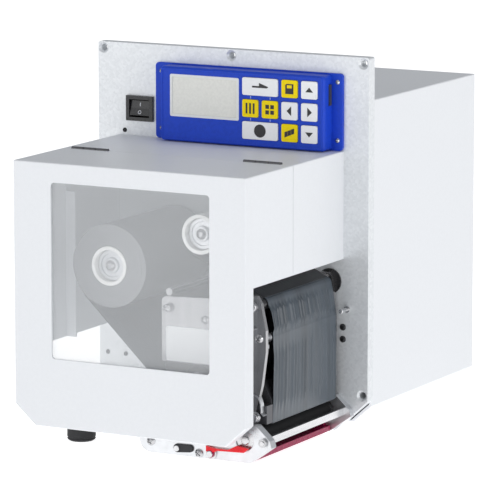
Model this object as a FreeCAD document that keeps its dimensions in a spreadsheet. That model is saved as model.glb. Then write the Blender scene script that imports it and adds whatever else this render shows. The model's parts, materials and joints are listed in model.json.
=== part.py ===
import FreeCAD, Part
import Sketcher
import math
import os
import re

from FreeCAD import Vector

# A label print module: a thermal-transfer print engine on a mounting plate.
# The print side, with its hinged cover, stands in front of the plate and the
# electronics housing stands behind it.
#
# Sub-parts are drawn from the plate: x runs to the right, y runs backwards
# from the plate's front face, z runs up from the plate's bottom edge. Every
# sub-part's Placement then moves it so that z = 0 is the surface the feet
# stand on and y = 0 is half way between the cover's front and the back panel.

doc = FreeCAD.newDocument("label_print_module")
sheet = doc.addObject("Spreadsheet::Sheet", "sizes")

SIZES = [
    # mounting plate
    ("plate_width", 245), ("plate_height", 300), ("plate_thick", 10),
    ("plate_cut_x", 28.8), ("plate_cut_z", 25.6), ("plate_corner", 1.5),
    ("hole_inset", 5), ("hole_low_z", 30), ("hole_radius", 2.75), ("sink_radius", 4.5),
    # the two half lengths of the module, and the ground
    ("cover_depth", 163), ("back_depth", 200), ("foot_drop", 2),
    # sheet metal
    ("sheet_thick", 1.5), ("seam_gap", 0.5), ("bend_radius", 1), ("fit_gap", 0.05),
    ("face_gap", 0.3),
    # covers
    ("cover_left", 104.5), ("cover_right", 100.6), ("cover_top", 225), ("cover_low", 16.3),
    ("cover_cut_x", 18), ("cover_cut_z", 16), ("seam_depth", 86),
    ("side_low_right", 139), ("side_low_left", 73), ("strip_depth", 12),
    ("window_left", 70.8), ("window_right", 69.1), ("window_low", 70.9), ("window_top", 209.7),
    ("window_corner", 3), ("pane_thick", 3), ("pane_lap", 8),
    ("flange_width", 8.5), ("flange_top", 190),
    # cover hinges
    ("hinge_left_x", 80), ("hinge_right_x", 74), ("hinge_length", 33), ("barrel_radius", 1.6),
    ("pin_radius", 0.8), ("knuckle_length", 10.6), ("leaf_width", 13), ("leaf_thick", 1),
    # rear housing
    ("rear_half", 120.4), ("rear_low", 5.9), ("rear_top", 265.5), ("rear_cut_x", 15.5), ("rear_cut_z", 14),
    ("panel_inset", 4),
    # operator panel
    ("base_left", 67.4), ("base_right", 100.7), ("base_low", 225.3), ("base_top", 286.5), ("base_thick", 3),
    ("housing_left", 56), ("housing_right", 91.5), ("housing_low", 225.6), ("housing_top", 285.5),
    ("housing_front", 17), ("housing_wall", 2), ("housing_corner", 3),
    ("lcd_left", -44.6), ("lcd_right", 14.2), ("lcd_low", 247.6), ("lcd_top", 277.9), ("lcd_thick", 1.6),
    ("key_left", 19.4), ("key_low", 231.9), ("key_width", 14.2), ("key_height", 14), ("key_step_x", 17.5),
    ("key_step_z", 17.5), ("key_gap", 0.3), ("key_proud", 0.8), ("key_thick", 2.4), ("key_corner", 1.5),
    ("card_low", 261.5), ("card_height", 16.5), ("card_deep", 5.5), ("card_thick", 3.3), ("card_length", 34),
    ("card_proud", 1), ("card_gap", 0.25),
    # power switch
    ("switch_left", -95.6), ("switch_right", -71.1), ("switch_low", 237.3), ("switch_top", 257.8),
    ("bezel_proud", 2.5), ("bezel_rim", 3), ("rocker_gap", 0.4), ("rocker_half", 5.9), ("rocker_pivot", 2),
    ("pivot_radius", 1.2), ("switch_behind", 22),
    # ribbon reels
    ("reel_front", 115), ("reel_back", 7), ("supply_x", -46.7), ("supply_z", 138.7), ("supply_radius", 33),
    ("takeup_x", 34.4), ("takeup_z", 170), ("core_radius", 15.6), ("core_bore", 12.7),
    ("takeup_radius", 16.6),
    ("hub_recess", 6), ("hub_shaft_radius", 4), ("hub_flange_radius", 19), ("shaft_behind", 12),
    # film path
    ("film_thick", 0.4), ("film_gap", 0.3), ("nose_x", 22), ("nose_z", 34.3), ("nose_radius", 5),
    ("edge_x", 96.6), ("edge_z", 28.8), ("edge_radius", 1.2), ("crease_x", 94.1), ("crease_z", 95),
    ("crease_radius", 4), ("crease_neck", 2.2), ("guide_x", 88.8), ("guide_z", 120.4), ("guide_radius", 4.9),
    ("guide_flange", 10.3),
    # print head unit
    ("head_front", 130), ("head_plate_thick", 4), ("head_back", 2), ("rear_setback", 5), ("head_left", 9),
    ("head_top", 122),
    ("head_step_z", 71.2), ("axle_x", 15.2), ("axle_z", 113.5), ("axle_radius", 3.5), ("lock_x", 40),
    ("lock_z", 59), ("lock_radius", 6), ("lock_room", 11), ("rod_x", 14.5), ("rod_z", 125.5),
    ("rod_radius", 3),
    # print roller and its drive
    ("roller_x", 87.3), ("roller_z", 17.5), ("roller_radius", 9), ("roller_shaft", 4), ("bearing_radius", 8),
    ("bearing_width", 5), ("pulley_radius", 8), ("pulley_width", 9), ("pulley_start", 15), ("motor_x", 44),
    ("motor_z", 72), ("motor_pulley_radius", 6), ("motor_size", 57), ("motor_length", 54),
    ("motor_stand", 30),
    ("belt_thick", 1.4), ("belt_gap", 0.2), ("reel_motor_radius", 21), ("reel_motor_length", 55),
    # bearing plates, label bed and peel plate
    ("bearing_plate_front", 140), ("bearing_plate_thick", 8), ("rear_block_thick", 6), ("bed_low", 9),
    ("bed_top", 16), ("bed_right", 70), ("peel_left", 101), ("peel_right", 104.3), ("peel_low", 14.4),
    ("peel_top", 20),
    # locking lever with its pinch roller
    ("lever_x", 58.4), ("lever_z", 4.6), ("lever_bore", 3), ("washer_radius", 4.8), ("washer_thick", 1.4),
    ("lever_tip_x", 90), ("lever_thick", 3),
    ("bar_x", 84), ("bar_width", 9), ("bar_low", 0.9), ("bar_height", 4.2), ("arm_low", 1.6),
    ("arm_top", 7.4),
    ("pinch_radius", 3.4), ("pinch_shaft", 1.5), ("pinch_angle", 220), ("rubber_front", 126),
    ("rubber_back", 12),
    # feet and their rail
    ("foot_radius", 11.5), ("foot_front", 118), ("foot_left_x", 71), ("foot_right_x", 37),
    ("foot_right_y", 60),
    ("foot_rear_x", 66), ("foot_rear_y", 165), ("rail_width", 22), ("rail_top", 12),
]
for row, (alias, value) in enumerate(SIZES, start=1):
    sheet.set("A%d" % row, alias)
    sheet.set("B%d" % row, str(value))
    sheet.setAlias("B%d" % row, alias)
doc.recompute()

ALIAS = re.compile(r"\b(%s)\b" % "|".join(alias for alias, value in SIZES))
nodes = []


def bound(text):
    """The expression text with every size's name pointed at the sheet."""
    return ALIAS.sub(r"sizes.\1", str(text))


def value(text):
    """The number that an expression over the sizes gives now."""
    probe = ALIAS.sub(lambda found: "%r" % float(sheet.get(found.group(1))), str(text))
    terms = FreeCAD.Units.Quantity(probe)
    return float(terms.Value)


def place(item, x, y, z):
    item.setExpression("Placement.Base.x", bound(x))
    item.setExpression("Placement.Base.y", bound(y))
    item.setExpression("Placement.Base.z", bound(z))


def keep(item, label):
    """Make the item a sub-part: label it and stand it on the ground frame."""
    item.Label = label
    place(item, 0, "(cover_depth - back_depth)/2", "foot_drop")
    nodes.append(item)
    return item


def box(x, y, z, width, depth, height):
    item = doc.addObject("Part::Box", "box")
    item.setExpression("Length", bound(width))
    item.setExpression("Width", bound(depth))
    item.setExpression("Height", bound(height))
    place(item, x, y, z)
    return item


def span(x0, x1, y0, y1, z0, z1):
    """A box given by its two corners."""
    sizes = ["(%s) - (%s)" % pair for pair in ((x1, x0), (y1, y0), (z1, z0))]
    return box(x0, y0, z0, *sizes)


AXES = {"x": FreeCAD.Rotation(Vector(0, 1, 0), 90), "y": FreeCAD.Rotation(Vector(1, 0, 0), -90),
        "z": FreeCAD.Rotation()}


def rod(axis, x, y, z, length, radius, end_radius=None):
    """A cylinder, or a cone where an end radius is given, along an axis."""
    kind = "Part::Cylinder" if end_radius is None else "Part::Cone"
    item = doc.addObject(kind, "rod")
    item.Placement.Rotation = AXES[axis]
    item.setExpression("Height", bound(length))
    if end_radius is None:
        item.setExpression("Radius", bound(radius))
    else:
        item.setExpression("Radius1", bound(radius))
        item.setExpression("Radius2", bound(end_radius))
    place(item, x, y, z)
    return item


def cut(base, *tools):
    for tool in tools:
        result = doc.addObject("Part::Cut", "cut")
        result.Base = base
        result.Tool = tool
        base = result
    return base


def fuse(*items):
    result = doc.addObject("Part::MultiFuse", "fuse")
    result.Shapes = list(items)
    result.Refine = True
    return result


def group(*items):
    result = doc.addObject("Part::Compound", "group")
    result.Links = list(items)
    return result


def tube(axis, x, y, z, length, radius, bore):
    return cut(rod(axis, x, y, z, length, radius), rod(axis, x, y, z, length, bore))


# Sketch planes of a body: its role, whether the pad is reversed so that it
# grows along the positive axis, and the sign of the sketch's own offset.
PLANES = {"x": ("YZ_Plane", False, ""), "y": ("XZ_Plane", True, "-"), "z": ("XY_Plane", False, "")}


def prism(axis, outline, start, length):
    """A body padded from an outline of (across, up) points along an axis."""
    role, reverse, sign = PLANES[axis]
    body = doc.addObject("PartDesign::Body", "body")
    plane = [item for item in body.Origin.OriginFeatures if item.Role == role][0]
    sketch = body.newObject("Sketcher::SketchObject", "outline")
    sketch.AttachmentSupport = (plane, [""])
    sketch.MapMode = "FlatFace"
    sketch.setExpression("AttachmentOffset.Base.z", bound("%s(%s)" % (sign, start)))
    points = [(value(u), value(v)) for u, v in outline]
    count = len(points)
    for index in range(count):
        first = Vector(*points[index], 0)
        last = Vector(*points[(index + 1) % count], 0)
        sketch.addGeometry(Part.LineSegment(first, last), False)
    for index in range(count):
        following = (index + 1) % count
        sketch.addConstraint(Sketcher.Constraint("Coincident", index, 2, following, 1))
    for index, (u, v) in enumerate(outline):
        for kind, text, number in (("DistanceX", u, points[index][0]), ("DistanceY", v, points[index][1])):
            where = sketch.addConstraint(Sketcher.Constraint(kind, -1, 1, index, 1, number))
            sketch.setExpression("Constraints[%d]" % where, bound(text))
    pad = body.newObject("PartDesign::Pad", "pad")
    pad.Profile = sketch
    pad.setExpression("Length", bound(length))
    pad.Reversed = reverse
    return body


def round_edges(item, radius, chosen):
    """Round the edges whose middle and direction the chosen test accepts."""
    doc.recompute()
    names = []
    for index, edge in enumerate(item.Shape.Edges, start=1):
        middle = edge.CenterOfMass
        along = edge.Vertexes[-1].Point.sub(edge.Vertexes[0].Point)
        if edge.Length > 0 and chosen(middle, along):
            names.append("Edge%d" % index)
    if item.TypeId == "PartDesign::Body":
        tip = item.Tip
        fillet = item.newObject("PartDesign::Fillet", "fillet")
        fillet.Base = (tip, names)
        fillet.setExpression("Radius", bound(radius))
        item.Tip = fillet
        return item
    fillet = doc.addObject("Part::Fillet", "fillet")
    fillet.Base = item
    fillet.Edges = [(int(name[4:]), value(radius), value(radius)) for name in names]
    return fillet


def along_axis(along, axis):
    others = [name for name in "xyz" if name != axis]
    return all(abs(getattr(along, name)) < 1e-6 for name in others) and abs(getattr(along, axis)) > 1e-6


def near(number, text, slack=0.01):
    return abs(number - value(text)) < slack


# ---------------------------------------------------------------- mounting plate
HALF_PLATE = "plate_width/2"
plate = prism("y", [
    ("-%s + plate_cut_x" % HALF_PLATE, 0), ("%s - plate_cut_x" % HALF_PLATE, 0),
    (HALF_PLATE, "plate_cut_z"), (HALF_PLATE, "plate_height"),
    ("-" + HALF_PLATE, "plate_height"), ("-" + HALF_PLATE, "plate_cut_z")], 0, "plate_thick")
plate = round_edges(plate, "plate_corner", lambda middle, along: along_axis(along, "y")
                    and near(middle.z, "plate_height"))
PLATE_HOLES = [("%s(plate_width/2 - hole_inset)" % side, height) for side in ("-", "")
               for height in ("plate_height - hole_inset", "hole_low_z")]
PLATE_HOLES.append((0, "plate_height - hole_inset"))
tools = []
for x, z in PLATE_HOLES:
    tools.append(rod("y", x, 0, z, "plate_thick", "hole_radius"))
    tools.append(rod("y", x, 0, z, "sink_radius - hole_radius", "sink_radius", "hole_radius"))
for x, z, radius in (("supply_x", "supply_z", "hub_shaft_radius"),
                     ("takeup_x", "takeup_z", "hub_shaft_radius"),
                     ("lock_x", "lock_z", "lock_radius"), ("roller_x", "roller_z", "roller_shaft")):
    tools.append(rod("y", x, 0, z, "plate_thick", "%s + fit_gap" % radius))
tools.append(span("switch_left + bezel_rim/2", "switch_right - bezel_rim/2", 0, "plate_thick",
                  "switch_low + bezel_rim/2", "switch_top - bezel_rim/2"))
keep(cut(plate, *tools), "mounting_plate")


def screws(places, face, radius, head):
    """Screw heads standing forward of a face, one solid each."""
    return [rod("y", x, "%s - %s" % (face, head), z, head, radius) for x, z in places]


bearing_face = "-bearing_plate_front"
panel_screws = screws([(x, z) for x in (96.2, -62) for z in (279.7, 233.5)], "-base_thick", 2.4, 1.4)
keep(group(*screws([(4.7, 9), (47.4, 3.6), (104, 17)], bearing_face, 3, 2), *panel_screws,
           *screws([(100.4, 84.1), (100.4, 74.4), (-115, 44.6), (-98.2, 44.4), (-98, 229)], 0, 2, 1.2)),
     "chassis_screws")

# ---------------------------------------------------------------- fixed cover
TOP_UNDER = "cover_top - sheet_thick"
SEAM_BACK = "-seam_depth + seam_gap/2"
NOTCH = "(barrel_radius + 0.6)"
HINGES = ["-hinge_left_x", "hinge_right_x"]
hood = prism("y", [
    ("-cover_left", "side_low_left"), ("-cover_left + sheet_thick", "side_low_left"),
    ("-cover_left + sheet_thick", TOP_UNDER), ("cover_right - sheet_thick", TOP_UNDER),
    ("cover_right - sheet_thick", "side_low_right"), ("cover_right", "side_low_right"),
    ("cover_right", "cover_top"), ("-cover_left", "cover_top")], SEAM_BACK, "seam_depth - seam_gap/2")
hood = round_edges(hood, "bend_radius", lambda middle, along: along_axis(along, "y")
                   and near(middle.z, "cover_top"))
side_flange = span("-cover_left + sheet_thick", "-cover_left + sheet_thick + flange_width", SEAM_BACK,
                   SEAM_BACK + " + sheet_thick", "side_low_left", "flange_top")
rear_flange = span("-cover_left + 20", "cover_right - 20", "-sheet_thick", 0, TOP_UNDER + " - 10", TOP_UNDER)


def notches():
    """Room in both covers' edges for the hinge barrels."""
    return [span("%s - hinge_length/2 - face_gap" % x, "%s + hinge_length/2 + face_gap" % x,
                 "-seam_depth - " + NOTCH, "-seam_depth + " + NOTCH, TOP_UNDER + " - 1", "cover_top + 1")
            for x in HINGES]


keep(cut(fuse(hood, side_flange, rear_flange), *notches()), "fixed_cover")

# ---------------------------------------------------------------- hinged cover
FRONT = "-cover_depth"


def cover_outline(inset):
    """The cover's front outline, set in from its outside by the inset."""
    left = "-cover_left + %s" % inset
    right = "cover_right - %s" % inset
    low = "cover_low + %s" % inset
    top = "cover_top - %s" % inset
    return [(left + " + cover_cut_x", low), (right + " - cover_cut_x", low), (right, low + " + cover_cut_z"),
            (right, top), (left, top), (left, low + " + cover_cut_z")]


shell = prism("y", cover_outline("0"), FRONT, "cover_depth - seam_depth - seam_gap/2")
shell = round_edges(shell, "bend_radius", lambda middle, along: near(middle.y, FRONT)
                    or (along_axis(along, "y") and near(middle.z, "cover_top")))
hollow = prism("y", cover_outline("sheet_thick"), FRONT + " + sheet_thick", "cover_depth")
SIDE_OPEN = FRONT + " + strip_depth"
right_opening = span("cover_right - sheet_thick - 1", "cover_right + 1", SIDE_OPEN, 0, 0, "side_low_right")
left_opening = span("-cover_left - 1", "-cover_left + sheet_thick + 1", SIDE_OPEN, 0, 0, "side_low_left")
floor_opening = span("-cover_left - 1", "cover_right + 1", SIDE_OPEN, 0, 0, "cover_low + cover_cut_z + 1")
window = span("-window_left", "window_right", FRONT + " - 1", FRONT + " + sheet_thick + 1",
              "window_low", "window_top")
window = round_edges(window, "window_corner", lambda middle, along: along_axis(along, "y"))
keep(cut(shell, hollow, right_opening, left_opening, floor_opening, window, *notches()), "hinged_cover")
keep(group(span("-window_left - pane_lap", "window_right + pane_lap", FRONT + " + sheet_thick",
                FRONT + " + sheet_thick + pane_thick", "window_low - pane_lap", "window_top + pane_lap")),
     "cover_pane")

# ---------------------------------------------------------------- cover hinges
LEAF_LOW = TOP_UNDER + " - leaf_thick"


def knuckle(x, side, bored):
    """A hinge barrel centred on x with its arm to the leaf on one side of the seam."""
    start = "%s - knuckle_length/2" % x
    barrel = rod("x", start, "-seam_depth", "cover_top", "knuckle_length", "barrel_radius")
    near_y, far_y = (("-seam_depth - " + NOTCH, "-seam_depth") if side < 0
                     else ("-seam_depth", "-seam_depth + " + NOTCH))
    arm = span(start, "%s + knuckle_length" % start, near_y, far_y, LEAF_LOW, "cover_top - 0.8")
    piece = fuse(barrel, arm)
    if bored:
        piece = cut(piece, rod("x", start, "-seam_depth", "cover_top", "knuckle_length",
                               "pin_radius + fit_gap"))
    return piece


def leaf(x, start):
    return span("%s - hinge_length/2" % x, "%s + hinge_length/2" % x, start, start + " + leaf_width",
                LEAF_LOW,
                TOP_UNDER)


OUTER = "(hinge_length - knuckle_length)/2"
keep(group(*[fuse(leaf(x, "-seam_depth - %s - leaf_width" % NOTCH), knuckle(x, -1, True)) for x in HINGES]),
     "moving_hinge_leaves")
fixed_leaves = []
for x in HINGES:
    pin = rod("x", "%s - hinge_length/2" % x, "-seam_depth", "cover_top", "hinge_length", "pin_radius")
    fixed_leaves.append(fuse(leaf(x, "-seam_depth + " + NOTCH), knuckle("%s - %s" % (x, OUTER), 1, False),
                             knuckle("%s + %s" % (x, OUTER), 1, False), pin))
keep(group(*fixed_leaves), "fixed_hinge_leaves")

# ---------------------------------------------------------------- rear housing
PANEL_BACK = "back_depth - panel_inset"


def rear_outline(inset):
    half = "rear_half - %s" % inset
    low = "rear_low + %s" % inset
    top = "rear_top - %s" % inset
    return [("-(%s) + rear_cut_x" % half, low), (half + " - rear_cut_x", low), (half, low + " + rear_cut_z"),
            (half, top), ("-(%s)" % half, top), ("-(%s)" % half, low + " + rear_cut_z")]


case = prism("y", rear_outline("0"), "plate_thick", "back_depth - plate_thick")
case = round_edges(case, "bend_radius", lambda middle, along: along_axis(along, "y")
                   and near(middle.z, "rear_top"))
keep(cut(case, prism("y", rear_outline("sheet_thick"), "plate_thick", "back_depth")), "rear_cover")

INLET = ("55", "83", "26", "46")
BOARD_LEFT = "-rear_half + sheet_thick + 8"
BOARD_RIGHT = BOARD_LEFT + " + 1.6"
PORTS = [("62", "78", 16), ("86", "101", 17), ("112", "143", 13)]
PANEL_FRONT = PANEL_BACK + " - sheet_thick"
port_boxes = [span(BOARD_RIGHT, "%s + %s" % (BOARD_RIGHT, width), PANEL_FRONT + " - 15", PANEL_BACK + " + 1",
                   low, top)
              for low, top, width in PORTS]
inlet_body = span(INLET[0], INLET[1], PANEL_FRONT + " - 18", PANEL_BACK, INLET[2], INLET[3])
inlet_rim = span(INLET[0] + " - 3", INLET[1] + " + 3", PANEL_BACK, PANEL_BACK + " + 2", INLET[2] + " - 3",
                 INLET[3] + " + 3")
inlet_well = span(INLET[0] + " + 3", INLET[1] + " - 3", PANEL_BACK + " - 14", PANEL_BACK + " + 2",
                  INLET[2] + " + 3",
                  INLET[3] + " - 3")
panel_plate = prism("y", rear_outline("sheet_thick"), PANEL_FRONT, "sheet_thick")
keep(cut(panel_plate, *port_boxes, inlet_body), "rear_panel")
pins = [span("69 + %s - 1" % shift, "69 + %s + 1" % shift, PANEL_BACK + " - 14", PANEL_BACK + " - 2", "34",
             "40")
        for shift in (-7, 0, 7)]
keep(fuse(cut(fuse(inlet_body, inlet_rim), inlet_well), *pins), "power_inlet")
keep(group(*port_boxes), "interface_ports")

# ---------------------------------------------------------------- electronics
board = span(BOARD_LEFT, BOARD_RIGHT, "60", PANEL_FRONT + " - 3", "50", "240")
spacers = [rod("x", "-rear_half + sheet_thick", y, z, 8, 3) for y in (66, 180) for z in (60, 230)]
chips = [span(BOARD_RIGHT, BOARD_RIGHT + " + 3", y, y + 22, z, z + 22)
         for y, z in ((80, 150), (120, 150), (80, 200))]
keep(fuse(board, *spacers, *chips), "mainboard")
keep(group(span("rear_half - sheet_thick - 45", "rear_half - sheet_thick", 70, 180, 130, 240)),
     "power_supply")

# ---------------------------------------------------------------- print roller drive
HALF_MOTOR = "motor_size/2"
stand = "motor_stand"
motor = span("motor_x - " + HALF_MOTOR, "motor_x + " + HALF_MOTOR, stand, stand + " + motor_length",
             "motor_z - " + HALF_MOTOR, "motor_z + " + HALF_MOTOR)
posts = [rod("y", "motor_x + %d*(%s - 5)" % (i, HALF_MOTOR), "plate_thick",
             "motor_z + %d*(%s - 5)" % (j, HALF_MOTOR),
             "motor_stand - plate_thick", 3) for i in (-1, 1) for j in (-1, 1)]
shaft_well = rod("y", "motor_x", stand, "motor_z", 8, "roller_shaft + fit_gap")
keep(cut(fuse(motor, *posts), shaft_well), "drive_motor")


def pulley(x, z, radius):
    """A toothed-belt pulley with a thin flange at each end."""
    rim = rod("y", x, "pulley_start", z, "pulley_width", radius)
    front_flange = rod("y", x, "pulley_start", z, 1, radius + " + 1.6")
    back_flange = rod("y", x, "pulley_start + pulley_width - 1", z, 1, radius + " + 1.6")
    return [rim, front_flange, back_flange]


keep(fuse(*pulley("motor_x", "motor_z", "motor_pulley_radius"),
          rod("y", "motor_x", "plate_thick + 2", "motor_z", "motor_stand + 7 - plate_thick - 2",
              "roller_shaft")),
     "motor_pulley")
keep(fuse(*pulley("roller_x", "roller_z", "pulley_radius"),
          rod("y", "roller_x", "-bearing_plate_front + 1", "roller_z",
              "bearing_plate_front - 1 + pulley_start + 12",
              "roller_shaft")), "print_roller_shaft")
keep(tube("y", "roller_x", "-rubber_front", "roller_z", "rubber_front - rubber_back", "roller_radius",
          "roller_shaft"), "print_roller_sleeve")


def face_along_y(edges, y0, y1):
    """A plane outline in x and z, extruded from y0 to y1."""
    face = Part.Face(Part.Wire(edges))
    face.translate(Vector(0, y0, 0))
    return face.extrude(Vector(0, y1 - y0, 0))


def heading(first, second):
    """The direction of the straight run that leaves one circle for the next.

    A circle is (x, z, radius): the radius is positive where the run passes
    with the centre on its right and negative where it is on its left.
    """
    across = second[0] - first[0]
    up = second[1] - first[1]
    return math.atan2(up, across) - math.asin((first[2] - second[2]) / math.hypot(across, up))


def rim_point(circle, angle, offset):
    reach = circle[2] + offset
    return Vector(circle[0] - math.sin(angle) * reach, 0, circle[1] + math.cos(angle) * reach)


def band_side(circles, offset, closed):
    """Lines and arcs of one side of a band that runs over the circles."""
    count = len(circles)
    turns = [heading(circles[i], circles[(i + 1) % count]) for i in range(count if closed else count - 1)]
    edges = []
    for i, angle in enumerate(turns):
        start = rim_point(circles[i], angle, offset)
        end = rim_point(circles[(i + 1) % count], angle, offset)
        edges.append(Part.LineSegment(start, end).toShape())
        if not closed and i == len(turns) - 1:
            break
        following = turns[(i + 1) % count]
        circle = circles[(i + 1) % count]
        swing = math.remainder(following - angle, 2 * math.pi)
        middle = rim_point(circle, angle + swing / 2, offset)
        edges.append(Part.Arc(end, middle, rim_point(circle, following, offset)).toShape())
    return edges


def ends(edges):
    return edges[0].Vertexes[0].Point, edges[-1].Vertexes[-1].Point


def band(circles, thick, y0, y1):
    """An open strip of the given thickness that runs over the circles."""
    left = band_side(circles, thick / 2, False)
    right = band_side(circles, -thick / 2, False)
    left_start, left_end = ends(left)
    right_start, right_end = ends(right)
    wire = left + [Part.LineSegment(left_end, right_end).toShape()]
    wire += list(reversed(right)) + [Part.LineSegment(right_start, left_start).toShape()]
    return face_along_y(Part.__sortEdges__(wire), y0, y1)


def shaped(label, shape):
    item = doc.addObject("Part::Feature", "shaped")
    item.Shape = shape
    return keep(item, label)


belt_run = value("motor_pulley_radius"), value("pulley_radius")
belt_slack = value("belt_gap + belt_thick/2")
belt_circles = [(value("motor_x"), value("motor_z"), belt_run[0] + belt_slack),
                (value("roller_x"), value("roller_z"), belt_run[1] + belt_slack)]
half_belt = value("belt_thick/2")
belt_y = value("pulley_start + 1 + belt_gap"), value("pulley_start + pulley_width - 1 - belt_gap")
belt_outside = face_along_y(band_side(belt_circles, half_belt, True), *belt_y)
belt_inside = face_along_y(band_side(belt_circles, -half_belt, True), *belt_y)
shaped("drive_belt", belt_outside.cut(belt_inside))

# ---------------------------------------------------------------- ribbon reels
REELS = [("supply", "supply_x", "supply_z"), ("takeup", "takeup_x", "takeup_z")]
reel_motors = []
for name, x, z in REELS:
    motor = rod("y", x, "plate_thick", z, "reel_motor_length", "reel_motor_radius")
    socket = rod("y", x, "plate_thick", z, "shaft_behind + 1", "hub_shaft_radius + fit_gap")
    reel_motors.append(cut(motor, socket))
keep(group(*reel_motors), "reel_motors")
for name, x, z in REELS:
    spindle = rod("y", x, "-reel_front + hub_recess", z,
                  "reel_front - hub_recess + plate_thick + shaft_behind",
                  "hub_shaft_radius")
    barrel = rod("y", x, "-reel_front + hub_recess + 3", z, "reel_front - hub_recess - 3 - reel_back",
                 "core_bore - fit_gap")
    flange = rod("y", x, "-reel_back", z, 2, "hub_flange_radius")
    keep(fuse(spindle, barrel, flange), name + "_hub")
    keep(tube("y", x, "-reel_front", z, "reel_front - reel_back", "core_radius", "core_bore"), name + "_core")
keep(tube("y", "supply_x", "-reel_front + 0.5", "supply_z", "reel_front - reel_back - 1", "supply_radius",
          "core_radius"), "supply_ribbon_roll")

# ---------------------------------------------------------------- ribbon film
film = value("film_thick")
off = value("film_gap + film_thick/2")
path = [(value("supply_x"), value("supply_z"), -value("supply_radius") - off),
        (value("nose_x"), value("nose_z"), -value("nose_radius") - off),
        (value("edge_x"), value("edge_z"), -value("edge_radius") - off),
        (value("crease_x"), value("crease_z"), -value("crease_radius") - off),
        (value("guide_x"), value("guide_z"), -value("guide_radius") - off),
        (value("takeup_x"), value("takeup_z"), value("takeup_radius") + off)]
film_y = value("-reel_front"), value("-reel_back - 1")
film_whole = band(path, film, *film_y)
nose_turn = heading(path[0], path[1])
guide_turn = heading(path[4], path[5])


def slab(circle, angle, before, after):
    """A block round the stretch of film that lies between two distances from a rim point."""
    origin = rim_point(circle, angle, 0)
    block = Part.makeBox(after - before, film_y[1] - film_y[0] + 4, 6, Vector(before, film_y[0] - 2, -3))
    block.rotate(Vector(), Vector(0, 1, 0), -math.degrees(angle))
    block.translate(origin)
    return block


far = 400
supply_cut = slab(path[1], nose_turn, -far, -1.5)
takeup_cut = slab(path[4], guide_turn, 1.5, far)
spans = Part.makeCompound([film_whole.common(slab(path[1], nose_turn, -far, -2)),
                           film_whole.common(slab(path[4], guide_turn, 2, far))])
shaped("ribbon_film_spans", spans)
shaped("ribbon_film_on_head", film_whole.cut(supply_cut).cut(takeup_cut))

# ---------------------------------------------------------------- print head unit
PLATE_BACK = "-head_front + head_plate_thick"


def head_outline(setback):
    """A head side plate, with its right edge set back behind the film."""
    return [("head_left", "head_step_z"), ("50", "head_step_z"), ("60", "60"), ("72", "34"), ("84", "34"),
            ("crease_x - 2.4 - %s" % setback, "38.7"), ("crease_x + 2.5 - %s" % setback, "59.5"),
            ("crease_x + 6.1 - %s" % setback, "crease_z - 9.4"),
            ("crease_x + 6.1 - %s" % setback, "crease_z + 7.4"),
            ("guide_x + 7 - %s/2" % setback, "guide_z + 3"), ("guide_x + 3.5", "guide_z + 8.5"),
            ("guide_x - 5", "guide_z + 8"), ("60", "head_top + 2"), ("head_left", "head_top")]


def head_plate(start, thick, setback):
    plate = prism("y", head_outline(setback), start, thick)
    plate = round_edges(plate, 4, lambda middle, along: along_axis(along, "y") and near(middle.x, "head_left")
                        and near(middle.z, "head_top"))
    holes = [rod("y", "axle_x", start, "axle_z", thick, "axle_radius + fit_gap"),
             rod("y", "guide_x", start, "guide_z", thick, "3 + fit_gap")]
    return cut(plate, *holes)


lock_hole = rod("y", "lock_x", "-head_front", "lock_z", "head_front", "lock_room")
keep(group(head_plate("-head_front", "head_plate_thick", "0"),
           cut(head_plate("-head_back - head_plate_thick", "head_plate_thick", "rear_setback"), lock_hole)),
     "head_side_plates")
BETWEEN = "head_front - head_back - 2*head_plate_thick"
beam = prism("y", [
    ("nose_x - nose_radius/2", "nose_z - nose_radius"), ("60", "nose_z - nose_radius"), ("60", "50"),
    ("78", "60"),
    ("78", "head_top - 1"), ("head_left + 1", "head_top - 1"), ("head_left + 1", "nose_z + 7.7")],
    PLATE_BACK, BETWEEN)
beam = round_edges(beam, "nose_radius", lambda middle, along: along_axis(along, "y")
                   and near(middle.x, "nose_x - nose_radius/2") and near(middle.z, "nose_z - nose_radius"))
keep(cut(beam, lock_hole, rod("y", "axle_x", PLATE_BACK, "axle_z", BETWEEN, "axle_radius + fit_gap")),
     "head_beam")
HEAD_END = "-reel_front - 1.5"
thermal = prism("y", [
    ("60", "nose_z - nose_radius - 0.8"), ("edge_x + edge_radius", "edge_z - edge_radius"),
    ("edge_x + edge_radius", "46"), ("90", "60"), ("78", "60"), ("60", "50")],
    HEAD_END, "reel_front + 1.5 - head_back - head_plate_thick")
thermal = round_edges(thermal, "edge_radius", lambda middle, along: along_axis(along, "y")
                      and near(middle.x, "edge_x + edge_radius") and middle.z < value("edge_z"))
keep(fuse(thermal, span("80", "99", PLATE_BACK, HEAD_END, "edge_z - edge_radius + 1", "43")), "thermal_head")
keep(fuse(rod("y", "crease_x", PLATE_BACK, "crease_z", BETWEEN, "crease_neck"),
          rod("y", "crease_x", "-reel_front - 1", "crease_z", "reel_front - reel_back", "crease_radius")),
          "deflector_bar")
keep(group(*screws([(47.1, 106.6), (94.6, 96)], "-head_front", 3.2, 2)), "head_screws")
keep(fuse(rod("y", "guide_x", "-head_front + 0.5", "guide_z", "head_front - 1", 3),
          rod("y", "guide_x", PLATE_BACK + " + face_gap", "guide_z", BETWEEN + " - 2*face_gap",
              "guide_radius"),
          rod("y", "guide_x", "-head_back + face_gap", "guide_z", "head_back - 2*face_gap", "guide_flange")),
     "ribbon_guide_roller")
keep(cut(rod("y", "lock_x", "-head_front + 1", "lock_z", "head_front - 1 + plate_thick - 1", "lock_radius"),
         rod("y", "lock_x", "-head_front + 1", "lock_z", 6, 2.5)), "head_lock_shaft")
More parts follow.
